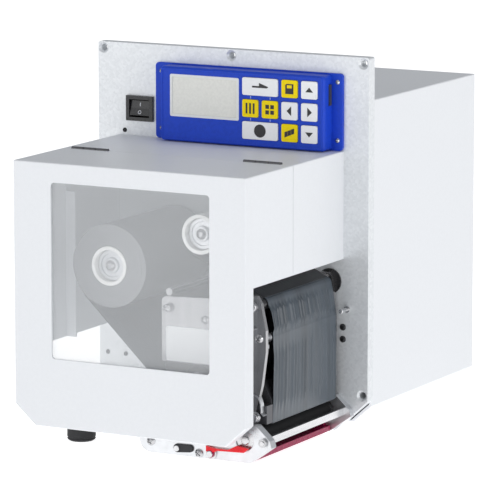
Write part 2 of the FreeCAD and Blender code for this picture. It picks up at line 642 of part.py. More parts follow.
keep(group(fuse(rod("y", "axle_x", "-head_front - 1", "axle_z", "head_front + 1", "axle_radius"),
                rod("y", "axle_x", "-head_front - 3", "axle_z", 2.7, "axle_radius")),
           rod("y", "rod_x", "-head_front + 2", "rod_z", "head_front - 2", "rod_radius")), "mechanism_rods")

# ---------------------------------------------------------------- roller bearings and bearing plates
bearing_outline = [("lever_x - 8.4", 0), ("91.8", 0), ("110.5", "13.5"), ("109", "19"), ("97", "30"),
                   ("lever_x - 8.4", "30")]
long_outline = [("-5.5", 0)] + bearing_outline[1:5] + [("-5.5", "30")]


def bearing_holes(start, thick):
    return [rod("y", "roller_x", start, "roller_z", thick, "bearing_radius"),
            rod("y", "lever_x", start, "lever_z", thick, "lever_bore + fit_gap")]


front_plate = prism("y", long_outline, "-bearing_plate_front", "bearing_plate_thick")
front_plate = round_edges(front_plate, 10, lambda middle,
                          along: along_axis(along, "y") and near(middle.x, "-5.5")
                          and near(middle.z, 0))
keep(cut(front_plate, *bearing_holes("-bearing_plate_front", "bearing_plate_thick")), "front_bearing_plate")
rear_block = prism("y", bearing_outline, "-rear_block_thick", "rear_block_thick")
keep(cut(rear_block, *bearing_holes("-rear_block_thick", "rear_block_thick")), "rear_bearing_block")
keep(group(*[tube("y", "roller_x", start, "roller_z", "bearing_width", "bearing_radius",
                  "roller_shaft + fit_gap")
             for start in ("-bearing_plate_front + 1.5", "-rear_block_thick + 0.5")]), "roller_bearings")
INNER_FRONT = "-bearing_plate_front + bearing_plate_thick"
keep(group(span("peel_left", "peel_right", INNER_FRONT, "-rear_block_thick", "peel_low", "peel_top")),
     "peel_plate")
bed = span(0, "bed_right", INNER_FRONT, "-rear_block_thick", "bed_low", "bed_top")
tongue = span(0, "lever_x - 8.4", "-rear_block_thick", 0, "bed_low", "bed_top")
keep(fuse(bed, tongue), "label_bed")

# ---------------------------------------------------------------- locking lever and pinch roller
ARM_FRONT = INNER_FRONT + " + 1"
ARM_BACK = "-rear_block_thick - 1 - lever_thick"
pinch_reach = "(roller_radius + pinch_radius + face_gap)"
PINCH_X = "(roller_x + %s*cos(pinch_angle*1deg))" % pinch_reach
PINCH_Z = "(roller_z + %s*sin(pinch_angle*1deg))" % pinch_reach
shaft = rod("y", "lever_x", "-bearing_plate_front - face_gap - lever_thick", "lever_z",
            "bearing_plate_front + face_gap + lever_thick - 1", "lever_bore")
pieces = [shaft, span("bar_x", "bar_x + bar_width", ARM_FRONT, ARM_BACK + " + lever_thick", "bar_low",
                      "bar_low + bar_height")]
for start in (ARM_FRONT, ARM_BACK):
    end = start + " + lever_thick"
    pieces.append(span("lever_x - 4", "bar_x + bar_width/2", start, end, "arm_low", "arm_top"))
    pieces.append(span(PINCH_X + " - pinch_radius", PINCH_X + " + pinch_radius", start, end, "arm_low",
                       PINCH_Z + " + pinch_shaft + 1.2"))
pinch_bore = rod("y", PINCH_X, ARM_FRONT, PINCH_Z, "bearing_plate_front", "pinch_shaft + fit_gap")
keep(cut(fuse(*pieces), pinch_bore), "locking_bar")
LEVER_FRONT = "-bearing_plate_front - face_gap - lever_thick"
arm = prism("y", [("lever_x - 3.4", "lever_z + 1.8"), ("lever_x + 4", "lever_z + 1.8"),
                  ("lever_x + 6", "7.8"),
                  ("88", "8.6"), ("lever_tip_x + 2", "12"), ("82", "13.6"), ("74", "9.4"), ("62", "9.6"),
                  ("lever_x - 3.4", "11")], LEVER_FRONT, "lever_thick")
washer_room = rod("y", "lever_x", LEVER_FRONT + " + lever_thick - washer_thick - face_gap", "lever_z",
                  "washer_thick + face_gap", "washer_radius + face_gap")
keep(cut(arm, washer_room, rod("y", "lever_x", LEVER_FRONT, "lever_z", "lever_thick", "lever_bore")),
     "locking_lever")
keep(fuse(rod("y", PINCH_X, "-rubber_front", PINCH_Z, "rubber_front - rubber_back", "pinch_radius"),
          rod("y", PINCH_X, ARM_FRONT, PINCH_Z,
              "bearing_plate_front - bearing_plate_thick - 1 - rear_block_thick - 1",
              "pinch_shaft")), "pinch_roller")

# ---------------------------------------------------------------- feet
rail = span("-foot_left_x - rail_width/2", "-foot_left_x + rail_width/2", "-foot_front - foot_radius", 0,
            "bed_low", "rail_top")
keep(group(rail), "foot_rail")
front_feet = [rod("z", x, y, "-foot_drop", "foot_drop + bed_low", "foot_radius")
              for x, y in (("-foot_left_x", "-foot_front"), ("foot_right_x", "-foot_right_y"))]
rear_feet = [rod("z", side + "foot_rear_x", "foot_rear_y", "-foot_drop", "foot_drop + rear_low",
                 "foot_radius")
             for side in ("-", "")]
keep(group(*front_feet, *rear_feet), "feet")

# ---------------------------------------------------------------- operator panel
base = span("-base_left", "base_right", "-base_thick", 0, "base_low", "base_top")
base = round_edges(base, "housing_corner", lambda middle, along: along_axis(along, "y"))
keep(base, "panel_base")
PANEL_FACE = "-housing_front"
housing = span("-housing_left", "housing_right", PANEL_FACE, "-base_thick", "housing_low", "housing_top")
housing = round_edges(housing, "housing_corner", lambda middle, along: along_axis(along, "y")
                      or near(middle.y, PANEL_FACE))
inside = span("-housing_left + housing_wall", "housing_right - housing_wall", PANEL_FACE + " + housing_wall",
              "-base_thick", "housing_low + housing_wall", "housing_top - housing_wall")
screen = span("lcd_left", "lcd_right", PANEL_FACE + " + 0.5", PANEL_FACE + " + 0.5 + lcd_thick", "lcd_low",
              "lcd_top")
screen_hole = span("lcd_left", "lcd_right", PANEL_FACE, PANEL_FACE + " + housing_wall + 1", "lcd_low",
                   "lcd_top")
KEYS = [("feed_key", 0, 2, 2), ("load_key", 2, 2, 1), ("up_key", 3, 2, 1), ("menu_key", 0, 1, 1),
        ("function_key", 1, 1, 1), ("left_key", 2, 1, 1), ("right_key", 3, 1, 1), ("pause_key", 0, 0, 2),
        ("pages_key", 2, 0, 1), ("down_key", 3, 0, 1)]


def key_block(column, row, columns, grow, front, back):
    """A key, or its opening where it is grown by the gap, between two depths."""
    x = "key_left + %d*key_step_x" % column
    z = "key_low + %d*key_step_z" % row
    width = "%d*key_step_x - (key_step_x - key_width)" % columns
    block = span("%s - %s" % (x, grow), "%s + %s + %s" % (x, width, grow), front, back, "%s - %s" % (z, grow),
                 "%s + key_height + %s" % (z, grow))
    return round_edges(block, "key_corner", lambda middle, along: along_axis(along, "y"))


openings = [key_block(column, row, columns, "key_gap", PANEL_FACE + " - 1",
                      PANEL_FACE + " + housing_wall + 1")
            for name, column, row, columns in KEYS]
CARD_X = "housing_right + card_proud"
CARD_Y = "-base_thick - card_deep"
card_slot = span("housing_right - housing_wall - 1", "housing_right + 1", CARD_Y + " - card_gap",
                 CARD_Y + " + card_thick + card_gap", "card_low - card_gap",
                 "card_low + card_height + card_gap")
keep(cut(housing, inside, screen_hole, card_slot, *openings), "panel_housing")
keep(group(screen), "panel_display")
for name, column, row, columns in KEYS:
    keep(key_block(column, row, columns, "0", PANEL_FACE + " - key_proud",
                   PANEL_FACE + " - key_proud + key_thick"),
         name)
keep(group(span(CARD_X + " - card_length", CARD_X, CARD_Y, CARD_Y + " + card_thick", "card_low",
                "card_low + card_height")), "memory_card")

# ---------------------------------------------------------------- power switch
MIDDLE = "(switch_low + switch_top)/2"
WELL = "rocker_half + 1.3"
rim = span("switch_left", "switch_right", "-bezel_proud", 0, "switch_low", "switch_top")
body = span("switch_left + bezel_rim/2", "switch_right - bezel_rim/2", 0, "plate_thick + switch_behind",
            "switch_low + bezel_rim/2", "switch_top - bezel_rim/2")
well = span("switch_left + bezel_rim", "switch_right - bezel_rim", "-bezel_proud", "rocker_pivot + 7",
            MIDDLE + " - (%s)" % WELL, MIDDLE + " + %s" % WELL)
pivot_bore = rod("x", "switch_left + bezel_rim - 1", "rocker_pivot", MIDDLE,
                 "switch_right - switch_left - 2*bezel_rim + 2", "pivot_radius + fit_gap")
keep(cut(fuse(rim, body), well, pivot_bore), "switch_bezel")
rocker = prism("x", [("-2.2", MIDDLE + " - rocker_half + 0.2"), ("-0.6", MIDDLE),
                     ("0.4", MIDDLE + " + rocker_half + 0.2"),
                     ("rocker_pivot + 3", MIDDLE + " + 5"), ("rocker_pivot + 5", MIDDLE + " + 2"),
                     ("rocker_pivot + 5", MIDDLE + " - 2"), ("rocker_pivot + 3", MIDDLE + " - 5")],
               "switch_left + bezel_rim + rocker_gap",
               "switch_right - switch_left - 2*bezel_rim - 2*rocker_gap")
trunnion = rod("x", "switch_left + bezel_rim - 1 + rocker_gap", "rocker_pivot", MIDDLE,
               "switch_right - switch_left - 2*bezel_rim + 2 - 2*rocker_gap", "pivot_radius")
rocker = fuse(rocker, trunnion)
keep(rocker, "switch_rocker")

# ---------------------------------------------------------------- check and write
doc.recompute()
for item in doc.Objects:
    if "Invalid" in item.State or "Error" in item.State:
        raise RuntimeError("%s (%s) failed: %s" % (item.Name, item.Label, item.State))
for item in nodes:
    if item.Shape.isNull() or not item.Shape.isValid():
        raise RuntimeError("%s has no valid shape" % item.Label)
os.makedirs("parts", exist_ok=True)
for item in nodes:
    item.Shape.exportStep("parts/%s.step" % item.Label)
print("wrote %d sub-parts" % len(nodes))
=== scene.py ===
# %% [markdown]
# # A label print module
# The machine has a zinc-coated mounting plate with a white windowed cover in
# front of it, a white housing behind it, and a blue operator panel on top.
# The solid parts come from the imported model, which is loaded first and never
# changed. Everything below adds finishes and the small detail that solids
# leave out: screws, pictograms, wrinkled film, turned ends.

# %% Load the frame
import json
import math
import random

import bmesh
import bpy
from mathutils import Matrix, Vector


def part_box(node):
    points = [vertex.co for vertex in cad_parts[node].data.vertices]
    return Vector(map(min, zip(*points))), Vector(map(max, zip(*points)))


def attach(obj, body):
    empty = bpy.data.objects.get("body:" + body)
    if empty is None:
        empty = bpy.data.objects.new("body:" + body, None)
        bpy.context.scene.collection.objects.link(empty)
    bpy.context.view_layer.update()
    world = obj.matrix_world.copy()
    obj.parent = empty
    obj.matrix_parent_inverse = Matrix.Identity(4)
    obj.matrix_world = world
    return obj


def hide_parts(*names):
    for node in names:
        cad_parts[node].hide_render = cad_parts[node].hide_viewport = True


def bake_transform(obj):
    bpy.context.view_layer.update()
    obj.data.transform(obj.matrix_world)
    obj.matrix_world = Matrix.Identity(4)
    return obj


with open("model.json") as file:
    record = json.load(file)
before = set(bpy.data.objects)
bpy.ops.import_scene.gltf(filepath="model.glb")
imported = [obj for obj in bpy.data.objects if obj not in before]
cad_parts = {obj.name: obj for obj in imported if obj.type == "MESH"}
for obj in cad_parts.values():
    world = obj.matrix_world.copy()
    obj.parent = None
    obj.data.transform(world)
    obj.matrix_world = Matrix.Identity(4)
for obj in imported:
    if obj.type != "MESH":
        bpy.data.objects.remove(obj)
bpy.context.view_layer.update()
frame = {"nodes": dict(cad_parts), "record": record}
MM = 0.001

# %% [markdown]
# Drawings of this machine measure from the mounting plate: x from its middle,
# y backwards from its front face, z up from its lower edge. One function
# turns such a drawing place into metres, so each piece below is written the
# way a fitter would read it off the drawing.

# %% Places on the drawing
plate_low, plate_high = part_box("mounting_plate")
PLATE_X = (plate_low[0] + plate_high[0]) / 2


def at(x, y, z):
    return Vector((PLATE_X + x * MM, plate_low[1] + y * MM, plate_low[2] + z * MM))


print("plate front at y =", round(plate_low[1], 4), "lower edge at z =", round(plate_low[2], 4))

# %% [markdown]
# A finish is more than a colour. Each one here mixes two close colours with
# a noise, changes the gloss with the same noise, and adds a fine bump. The
# noise reads Object coordinates, so it stays fixed on the piece, and the
# stretch of the noise makes grinding or brushing marks where it is uneven.


# %% A helper for finishes
CLOUDS_PER_GRAIN = 1 / 8
LEAST_ROUGH = 0.02


def finish(name, colour, rough, metal=0.0, grain=600.0, bump=0.08, vary=0.06, stretch=(1, 1, 1), coat=0.0,
           depth=0.00012, rough_vary=0.08, shine=0.5):
    """A procedural finish: two close colours, uneven gloss and a fine bump."""
    material = bpy.data.materials.new(name)
    material.use_nodes = True
    tree = material.node_tree
    shader = tree.nodes["Principled BSDF"]
    coords = tree.nodes.new("ShaderNodeTexCoord")
    mapping = tree.nodes.new("ShaderNodeMapping")
    mapping.inputs["Scale"].default_value = stretch
    tree.links.new(coords.outputs["Object"], mapping.inputs["Vector"])
    cloud = tree.nodes.new("ShaderNodeTexNoise")
    cloud.inputs["Scale"].default_value = grain * CLOUDS_PER_GRAIN
    cloud.inputs["Detail"].default_value = 4
    fine = tree.nodes.new("ShaderNodeTexNoise")
    fine.inputs["Scale"].default_value = grain
    fine.inputs["Detail"].default_value = 2
    for noise in (cloud, fine):
        tree.links.new(mapping.outputs["Vector"], noise.inputs["Vector"])
    tint = tree.nodes.new("ShaderNodeValToRGB")
    tint.color_ramp.elements[0].position = 0.35
    tint.color_ramp.elements[1].position = 0.65
    tint.color_ramp.elements[0].color = (*[c * (1 - vary) for c in colour], 1)
    tint.color_ramp.elements[1].color = (*[min(1, c * (1 + vary)) for c in colour], 1)
    tree.links.new(cloud.outputs["Fac"], tint.inputs["Fac"])
    tree.links.new(tint.outputs["Color"], shader.inputs["Base Color"])
    gloss = tree.nodes.new("ShaderNodeMapRange")
    gloss.inputs["To Min"].default_value = max(LEAST_ROUGH, rough - rough_vary)
    gloss.inputs["To Max"].default_value = rough + rough_vary
    tree.links.new(cloud.outputs["Fac"], gloss.inputs["Value"])
    tree.links.new(gloss.outputs["Result"], shader.inputs["Roughness"])
    relief = tree.nodes.new("ShaderNodeBump")
    relief.inputs["Strength"].default_value = bump
    relief.inputs["Distance"].default_value = depth
    tree.links.new(fine.outputs["Fac"], relief.inputs["Height"])
    tree.links.new(relief.outputs["Normal"], shader.inputs["Normal"])
    shader.inputs["Metallic"].default_value = metal
    shader.inputs["Coat Weight"].default_value = coat
    shader.inputs["Specular IOR Level"].default_value = shine
    return material


# %% [markdown]
# Most finishes are the helper with its own numbers. Powder coat has a fine
# orange-peel bump. Ground steel is stretched along its length. Rubber is dark
# and dull. Most names are those of the record's material slots, so each solid
# part finds its finish by name; a few more are for small pieces.

# %% Plain finishes
finishes = {
    "white_coat": finish("white_coat", (0.80, 0.815, 0.84), 0.42, grain=2600, bump=0.16, vary=0.008),
    "machined_aluminium": finish("machined_aluminium", (0.72, 0.73, 0.75), 0.30, 0.9, 900, 0.12, 0.05,
                                 (1, 0.08, 1)),
    "ground_steel": finish("ground_steel", (0.66, 0.66, 0.67), 0.24, 0.95, 1400, 0.10, 0.06, (1, 0.05, 1)),
    "hinge_steel": finish("hinge_steel", (0.16, 0.16, 0.17), 0.40, 0.8, 900, 0.1),
    "screw_steel": finish("screw_steel", (0.55, 0.55, 0.56), 0.25, 0.95, 1500, 0.08),
    "blue_plastic": finish("blue_plastic", (0.012, 0.062, 0.57), 0.42, grain=3000, bump=0.12, vary=0.05,
                           shine=0.22),
    "white_key": finish("white_key", (0.93, 0.94, 0.96), 0.38, grain=3200, bump=0.06, vary=0.015),
    "yellow_key": finish("yellow_key", (1.0, 0.76, 0.004), 0.38, grain=3200, bump=0.06, vary=0.03, shine=0.15),
    "card_plastic": finish("card_plastic", (0.055, 0.055, 0.060), 0.36, grain=2500, bump=0.05, vary=0.02),
    "black_plastic": finish("black_plastic", (0.018, 0.018, 0.020), 0.28, grain=3000, bump=0.10, vary=0.15),
    "black_metal": finish("black_metal", (0.022, 0.022, 0.025), 0.40, 0.3, 2200, 0.10, 0.15),
    "port_metal": finish("port_metal", (0.58, 0.58, 0.57), 0.30, 0.9, 1200, 0.06),
    "circuit_board": finish("circuit_board", (0.02, 0.16, 0.07), 0.35, grain=500, bump=0.05, vary=0.2),
    "motor_black": finish("motor_black", (0.030, 0.030, 0.034), 0.42, 0.2, 1800, 0.12, 0.12),
    "roller_rubber": finish("roller_rubber", (0.014, 0.014, 0.015), 0.62, grain=2600, bump=0.25, vary=0.15,
                            shine=0.2),
    "belt_rubber": finish("belt_rubber", (0.022, 0.022, 0.022), 0.66, grain=2400, bump=0.3, vary=0.15),
    "foot_rubber": finish("foot_rubber", (0.016, 0.016, 0.018), 0.62, grain=1800, bump=0.3, vary=0.2),
    "card_core": finish("card_core", (0.92, 0.92, 0.90), 0.62, grain=1200, bump=0.25, vary=0.05),
    "polished_steel": finish("polished_steel", (0.40, 0.40, 0.41), 0.20, 0.95, 1300, 0.10, 0.10, (1, 1, 0.05)),
    "head_grey": finish("head_grey", (0.10, 0.10, 0.11), 0.36, 0.5, 1200, 0.1),
    "red_coat": finish("red_coat", (0.78, 0.003, 0.012), 0.24, grain=1600, bump=0.06, vary=0.06, coat=0.15,
                       shine=0.3),
    "dark_red_coat": finish("dark_red_coat", (0.30, 0.005, 0.060), 0.26, grain=1600, bump=0.06, vary=0.08,
                            coat=0.1, shine=0.2),
    "icon_ink": finish("icon_ink", (0.020, 0.020, 0.022), 0.45, grain=2500, bump=0.03, vary=0.1),
    "mark_white": finish("mark_white", (0.82, 0.83, 0.84), 0.45, grain=2500, bump=0.03, vary=0.02),
    "line_blue": finish("line_blue", (0.36, 0.46, 0.82), 0.4, grain=2500, bump=0.03, vary=0.03),
}
print("finishes:", len(finishes))

# %% [markdown]
# Hot-dip zinc cools into small crystals, so the plate looks mottled in the
# light. A Voronoi texture gives each crystal its own grey and its own gloss.
# The cells are about two millimetres across and differ very little.


# %% The zinc plate
def zinc_finish(name, crystal, light, dark):
    material = finish(name, light, 0.44, 0.30, 900, 0.10, 0.03)
    tree = material.node_tree
    shader = tree.nodes["Principled BSDF"]
    mapping = tree.nodes["Mapping"]
    cells = tree.nodes.new("ShaderNodeTexVoronoi")
    cells.inputs["Scale"].default_value = crystal
    tree.links.new(mapping.outputs["Vector"], cells.inputs["Vector"])
    grey = tree.nodes.new("ShaderNodeSeparateColor")
    tree.links.new(cells.outputs["Color"], grey.inputs["Color"])
    mottle = tree.nodes.new("ShaderNodeMix")
    mottle.data_type = "RGBA"
    mottle.inputs["A"].default_value = (*dark, 1)
    mottle.inputs["B"].default_value = (*light, 1)
    tree.links.new(grey.outputs["Red"], mottle.inputs["Factor"])
    tree.links.new(mottle.outputs["Result"], shader.inputs["Base Color"])
    gloss = tree.nodes.new("ShaderNodeMapRange")
    gloss.inputs["To Min"].default_value = 0.34
    gloss.inputs["To Max"].default_value = 0.50
    tree.links.new(grey.outputs["Green"], gloss.inputs["Value"])
    tree.links.new(gloss.outputs["Result"], shader.inputs["Roughness"])
    return material


finishes["galvanised_plate"] = zinc_finish("galvanised_plate", 520, (0.80, 0.82, 0.84), (0.72, 0.74, 0.76))

# %% [markdown]
# The ink film is thin, dark and shiny. Where it is wound, its edges make fine
# rings on the roll's end, so the wound finish measures each point's distance
# from the reel's axis and varies the grey along it. The flat film has streaks
# that run the way it travels. The run that faces upwards gets a darker copy of
# the same film, which is painted shade.


# %% Ink film, flat and wound
def streaked_film(name, colour, stretch):
    return finish(name, colour, 0.34, 0.0, 420, 0.22, 0.22, stretch, coat=0.15, depth=0.0004)


def wound_film(name, centre):
    material = finish(name, (0.060, 0.062, 0.068), 0.36, 0.0, 900, 0.1, 0.10, coat=0.1)
    tree = material.node_tree
    shader = tree.nodes["Principled BSDF"]
    place = tree.nodes.new("ShaderNodeMapping")
    place.inputs["Location"].default_value = (-centre.x, 0, -centre.z)
    place.inputs["Scale"].default_value = (1, 0, 1)
    tree.links.new(tree.nodes["Texture Coordinate"].outputs["Object"], place.inputs["Vector"])
    reach = tree.nodes.new("ShaderNodeVectorMath")
    reach.operation = "LENGTH"
    tree.links.new(place.outputs["Vector"], reach.inputs[0])
    rings = tree.nodes.new("ShaderNodeTexNoise")
    rings.noise_dimensions = "1D"
    rings.inputs["Scale"].default_value = 1400
    rings.inputs["Detail"].default_value = 3
    tree.links.new(reach.outputs["Value"], rings.inputs["W"])
    tint = tree.nodes.new("ShaderNodeValToRGB")
    tint.color_ramp.elements[0].position = 0.3
    tint.color_ramp.elements[1].position = 0.7
    tint.color_ramp.elements[0].color = (0.110, 0.114, 0.122, 1)
    tint.color_ramp.elements[1].color = (0.300, 0.305, 0.315, 1)
    tree.links.new(rings.outputs["Fac"], tint.inputs["Fac"])
    tree.links.new(tint.outputs["Color"], shader.inputs["Base Color"])
    return material


SUPPLY = (-46.7, 138.7)
TAKEUP = (34.4, 170.0)
finishes["ribbon_film"] = streaked_film("ribbon_film", (0.060, 0.076, 0.094), (1, 1.6, 0.05))
# shaded_film is painted shade: the same film made darker for the run that faces upwards
finishes["shaded_film"] = streaked_film("shaded_film", (0.016, 0.018, 0.022), (0.05, 1.6, 0.05))
finishes["wound_ribbon"] = wound_film("wound_ribbon", at(SUPPLY[0], 0, SUPPLY[1]))

# %% [markdown]
# The window is clear sheet. Its faint milky veil is a painted reflection of a
# pale room: white painted into the mostly see-through sheet. The display
# window is a grey-green reflective screen behind a clear cover.


# %% Window and display
def clear_sheet(name, colour, veil, rough):
    material = finish(name, colour, rough, grain=200, bump=0.01, vary=0.01, rough_vary=0.01)
    shader = material.node_tree.nodes["Principled BSDF"]
    shader.inputs["Alpha"].default_value = veil
    material.surface_render_method = "BLENDED"
    return material


# The pale colour at low alpha is a painted reflection of the room, not a tint of the sheet.
finishes["clear_pane"] = clear_sheet("clear_pane", (0.80, 0.82, 0.84), 0.27, 0.06)
finishes["display_window"] = finish("display_window", (0.80, 0.80, 0.75), 0.22, grain=4200, bump=0.05,
                                    vary=0.03, coat=0.4)

# %% Put the finishes on the solid parts
for entry in frame["record"]["subparts"]:
    node = frame["nodes"][entry["node"]]
    wanted = finishes[entry["material_slot"]]
    node.data.materials.clear()
    node.data.materials.append(wanted)
frame["nodes"]["supply_ribbon_roll"].data.materials[0] = finishes["wound_ribbon"]
frame["nodes"]["head_side_plates"].data.materials[0] = finishes["polished_steel"]
frame["nodes"]["mechanism_rods"].data.materials[0] = finishes["polished_steel"]

# %% [markdown]
# Small pieces share a few ways of making a mesh. A plate or pictogram is an
# outline on the plate's plane, given a thickness and softened edges. A pin,
# ring or foot is turned: a profile spun round an axis, as on a lathe.


# %% Helpers for small pieces
def add_piece(name, mesh, slot, body, smooth=True):
    """Put a finished mesh in the scene, with its finish, on the body it moves with."""
    item = bpy.data.objects.new(name, mesh)
    bpy.context.scene.collection.objects.link(item)
    mesh.materials.clear()
    mesh.materials.append(finishes[slot])
    for face in mesh.polygons:
        face.use_smooth = smooth
    if smooth:
        mesh.set_sharp_from_angle(angle=math.radians(32))
    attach(item, body)
    return item


def plate_mesh(outlines, front, back, soften=0.0):
    """Outlines in drawing x and z, each filled from one depth to another."""
    mesh = bpy.data.meshes.new("plate")
    shape = bmesh.new()
    for outline in outlines:
        corners = [shape.verts.new(at(x, front, z)) for x, z in outline]
        face = shape.faces.new(corners)
        pushed = bmesh.ops.extrude_face_region(shape, geom=[face])
        moved = [v for v in pushed["geom"] if isinstance(v, bmesh.types.BMVert)]
        bmesh.ops.translate(shape, verts=moved, vec=(0, (back - front) * MM, 0))
    bmesh.ops.recalc_face_normals(shape, faces=shape.faces)
    if soften:
        bmesh.ops.bevel(shape, geom=list(shape.edges), offset=soften * MM, segments=2, affect="EDGES",
                        clamp_overlap=True)
    shape.to_mesh(mesh)
    shape.free()
    return mesh


def turned_mesh(profile, centre, steps=48):
    """A profile of (drawing depth, radius) spun round a front-to-back axis, closed at both ends."""
    mesh = bpy.data.meshes.new("turned")
    shape = bmesh.new()
    rings = []
    for along, radius in profile:
        ring = []
        for step in range(steps):
            angle = 2 * math.pi * step / steps
            across, up = radius * math.cos(angle), radius * math.sin(angle)
            ring.append(shape.verts.new(at(centre[0] + across, along, centre[1] + up)))
        rings.append(ring)
    for first, second in zip(rings, rings[1:]):
        for step in range(steps):
            after = (step + 1) % steps
            shape.faces.new((first[step], first[after], second[after], second[step]))
    shape.faces.new(rings[0])
    shape.faces.new(rings[-1])
    bmesh.ops.recalc_face_normals(shape, faces=shape.faces)
    shape.to_mesh(mesh)
    shape.free()
    return mesh


def turned_piece(name, centre, slot, body, profile):
    return add_piece(name, turned_mesh(profile, centre), slot, body)


def rounded(x0, x1, z0, z1, radius, steps=6):
    """The outline of a rectangle with rounded corners."""
    corners = [(x1 - radius, z1 - radius, 0), (x0 + radius, z1 - radius, 90), (x0 + radius, z0 + radius, 180),
               (x1 - radius, z0 + radius, 270)]
    outline = []
    for x, z, start in corners:
        for step in range(steps + 1):
            angle = math.radians(start + 90 * step / steps)
            outline.append((x + radius * math.cos(angle), z + radius * math.sin(angle)))
    return outline


def disc(x, z, radius, steps=40):
    return [(x + radius * math.cos(2 * math.pi * i / steps), z + radius * math.sin(2 * math.pi * i / steps))
            for i in range(steps)]


print("helpers ready; a disc outline has", len(disc(0, 0, 1)), "points")

# %% [markdown]
# A cross-recess screw head is a low dome with a cross cut into it. The dome
# is a disc of rings whose height is worked out point by point, so the cross
# is simply a place where the height drops. One head of each kind is made, and
# Geometry Nodes puts a copy at every point where the machine has a screw.


# %% One screw head
DOME_HEIGHT, DOME_CURVE, RIM_HEIGHT, RECESS_HEIGHT = 0.62, 2.6, 0.12, 0.25
CROSS_HALF_WIDTH, CROSS_REACH, HEXAGON_REACH = 0.13, 0.6, 0.5


def screw_head_object(name, socket):
    """A screw head of radius 1 that faces forwards, with a cross or a hexagon recess."""
    mesh = bpy.data.meshes.new(name)
    shape = bmesh.new()
    steps, rings = 48, 14
    middle = shape.verts.new((0, -RECESS_HEIGHT, 0))
    last = None
    for ring in range(1, rings + 1):
        reach = ring / rings
        loop = []
        for step in range(steps):
            angle = 2 * math.pi * step / steps
            x, z = reach * math.cos(angle), reach * math.sin(angle)
            height = DOME_HEIGHT * (1 - reach ** DOME_CURVE) + RIM_HEIGHT
            cross = min(abs(x), abs(z)) < CROSS_HALF_WIDTH and max(abs(x), abs(z)) < CROSS_REACH
            hexagon = max(abs(x), abs(x / 2 + z * 0.866), abs(x / 2 - z * 0.866)) < HEXAGON_REACH
            if (socket == "cross" and cross) or (socket == "hexagon" and hexagon):
                height = RECESS_HEIGHT
            loop.append(shape.verts.new((x, -height, z)))
        for step in range(steps):
            after = (step + 1) % steps
            if last is None:
                shape.faces.new((middle, loop[step], loop[after]))
            else:
                shape.faces.new((last[step], loop[step], loop[after], last[after]))
        last = loop
    foot = [shape.verts.new((v.co.x, 0.05, v.co.z)) for v in last]
    for step in range(steps):
        after = (step + 1) % steps
        shape.faces.new((last[step], foot[step], foot[after], last[after]))
    shape.faces.new(foot)
    bmesh.ops.recalc_face_normals(shape, faces=shape.faces)
    shape.to_mesh(mesh)
    shape.free()
    item = bpy.data.objects.new(name, mesh)
    bpy.context.scene.collection.objects.link(item)
    return item


# %% Geometry Nodes that repeat one shape at many points
def repeat_tree(name, template, material):
    """Points in, one copy of the template at each, scaled by the named input, out as plain mesh."""
    tree = bpy.data.node_groups.new(name, "GeometryNodeTree")
    tree.interface.new_socket("Points", in_out="INPUT", socket_type="NodeSocketGeometry")
    size = tree.interface.new_socket("Size", in_out="INPUT", socket_type="NodeSocketFloat")
    turn = tree.interface.new_socket("Largest turn", in_out="INPUT", socket_type="NodeSocketFloat")
    tree.interface.new_socket("Pieces", in_out="OUTPUT", socket_type="NodeSocketGeometry")
    start = tree.nodes.new("NodeGroupInput")
    end = tree.nodes.new("NodeGroupOutput")
    source = tree.nodes.new("GeometryNodeObjectInfo")
    source.inputs["Object"].default_value = template
    spread = tree.nodes.new("GeometryNodeInstanceOnPoints")
    chance = tree.nodes.new("FunctionNodeRandomValue")
    chance.inputs["Seed"].default_value = 7
    about = tree.nodes.new("ShaderNodeCombineXYZ")
    whole = tree.nodes.new("GeometryNodeRealizeInstances")
    coat = tree.nodes.new("GeometryNodeSetMaterial")
    coat.inputs["Material"].default_value = material
    tree.links.new(start.outputs["Points"], spread.inputs["Points"])
    tree.links.new(source.outputs["Geometry"], spread.inputs["Instance"])
    tree.links.new(start.outputs["Size"], spread.inputs["Scale"])
    tree.links.new(start.outputs["Largest turn"], chance.inputs[3])
    tree.links.new(chance.outputs[1], about.inputs["Y"])
    tree.links.new(about.outputs["Vector"], spread.inputs["Rotation"])
    tree.links.new(spread.outputs["Instances"], whole.inputs["Geometry"])
    tree.links.new(whole.outputs["Geometry"], coat.inputs["Geometry"])
    tree.links.new(coat.outputs["Geometry"], end.inputs["Pieces"])
    return tree, size.identifier, turn.identifier


def repeat(name, template, points, size, slot, body, largest_turn=1.5):
    """Copies of the template at the drawing points, as one plain mesh on one body."""
    cloud = bpy.data.meshes.new(name + "_points")
    cloud.from_pydata([at(*p) for p in points], [], [])
    carrier = bpy.data.objects.new(name + "_points", cloud)
    bpy.context.scene.collection.objects.link(carrier)
    tree, size_socket, turn_socket = repeat_tree(name, template, finishes[slot])
    modifier = carrier.modifiers.new("repeat", "NODES")
    modifier.node_group = tree
    modifier[size_socket] = size * MM
    modifier[turn_socket] = largest_turn
    ready = carrier.evaluated_get(bpy.context.evaluated_depsgraph_get())
    mesh = bpy.data.meshes.new_from_object(ready)
    carrier.modifiers.clear()
    bpy.data.objects.remove(carrier)
    print(name, "has", len(points), "copies,", len(mesh.polygons), "faces")
    return add_piece(name, mesh, slot, body)


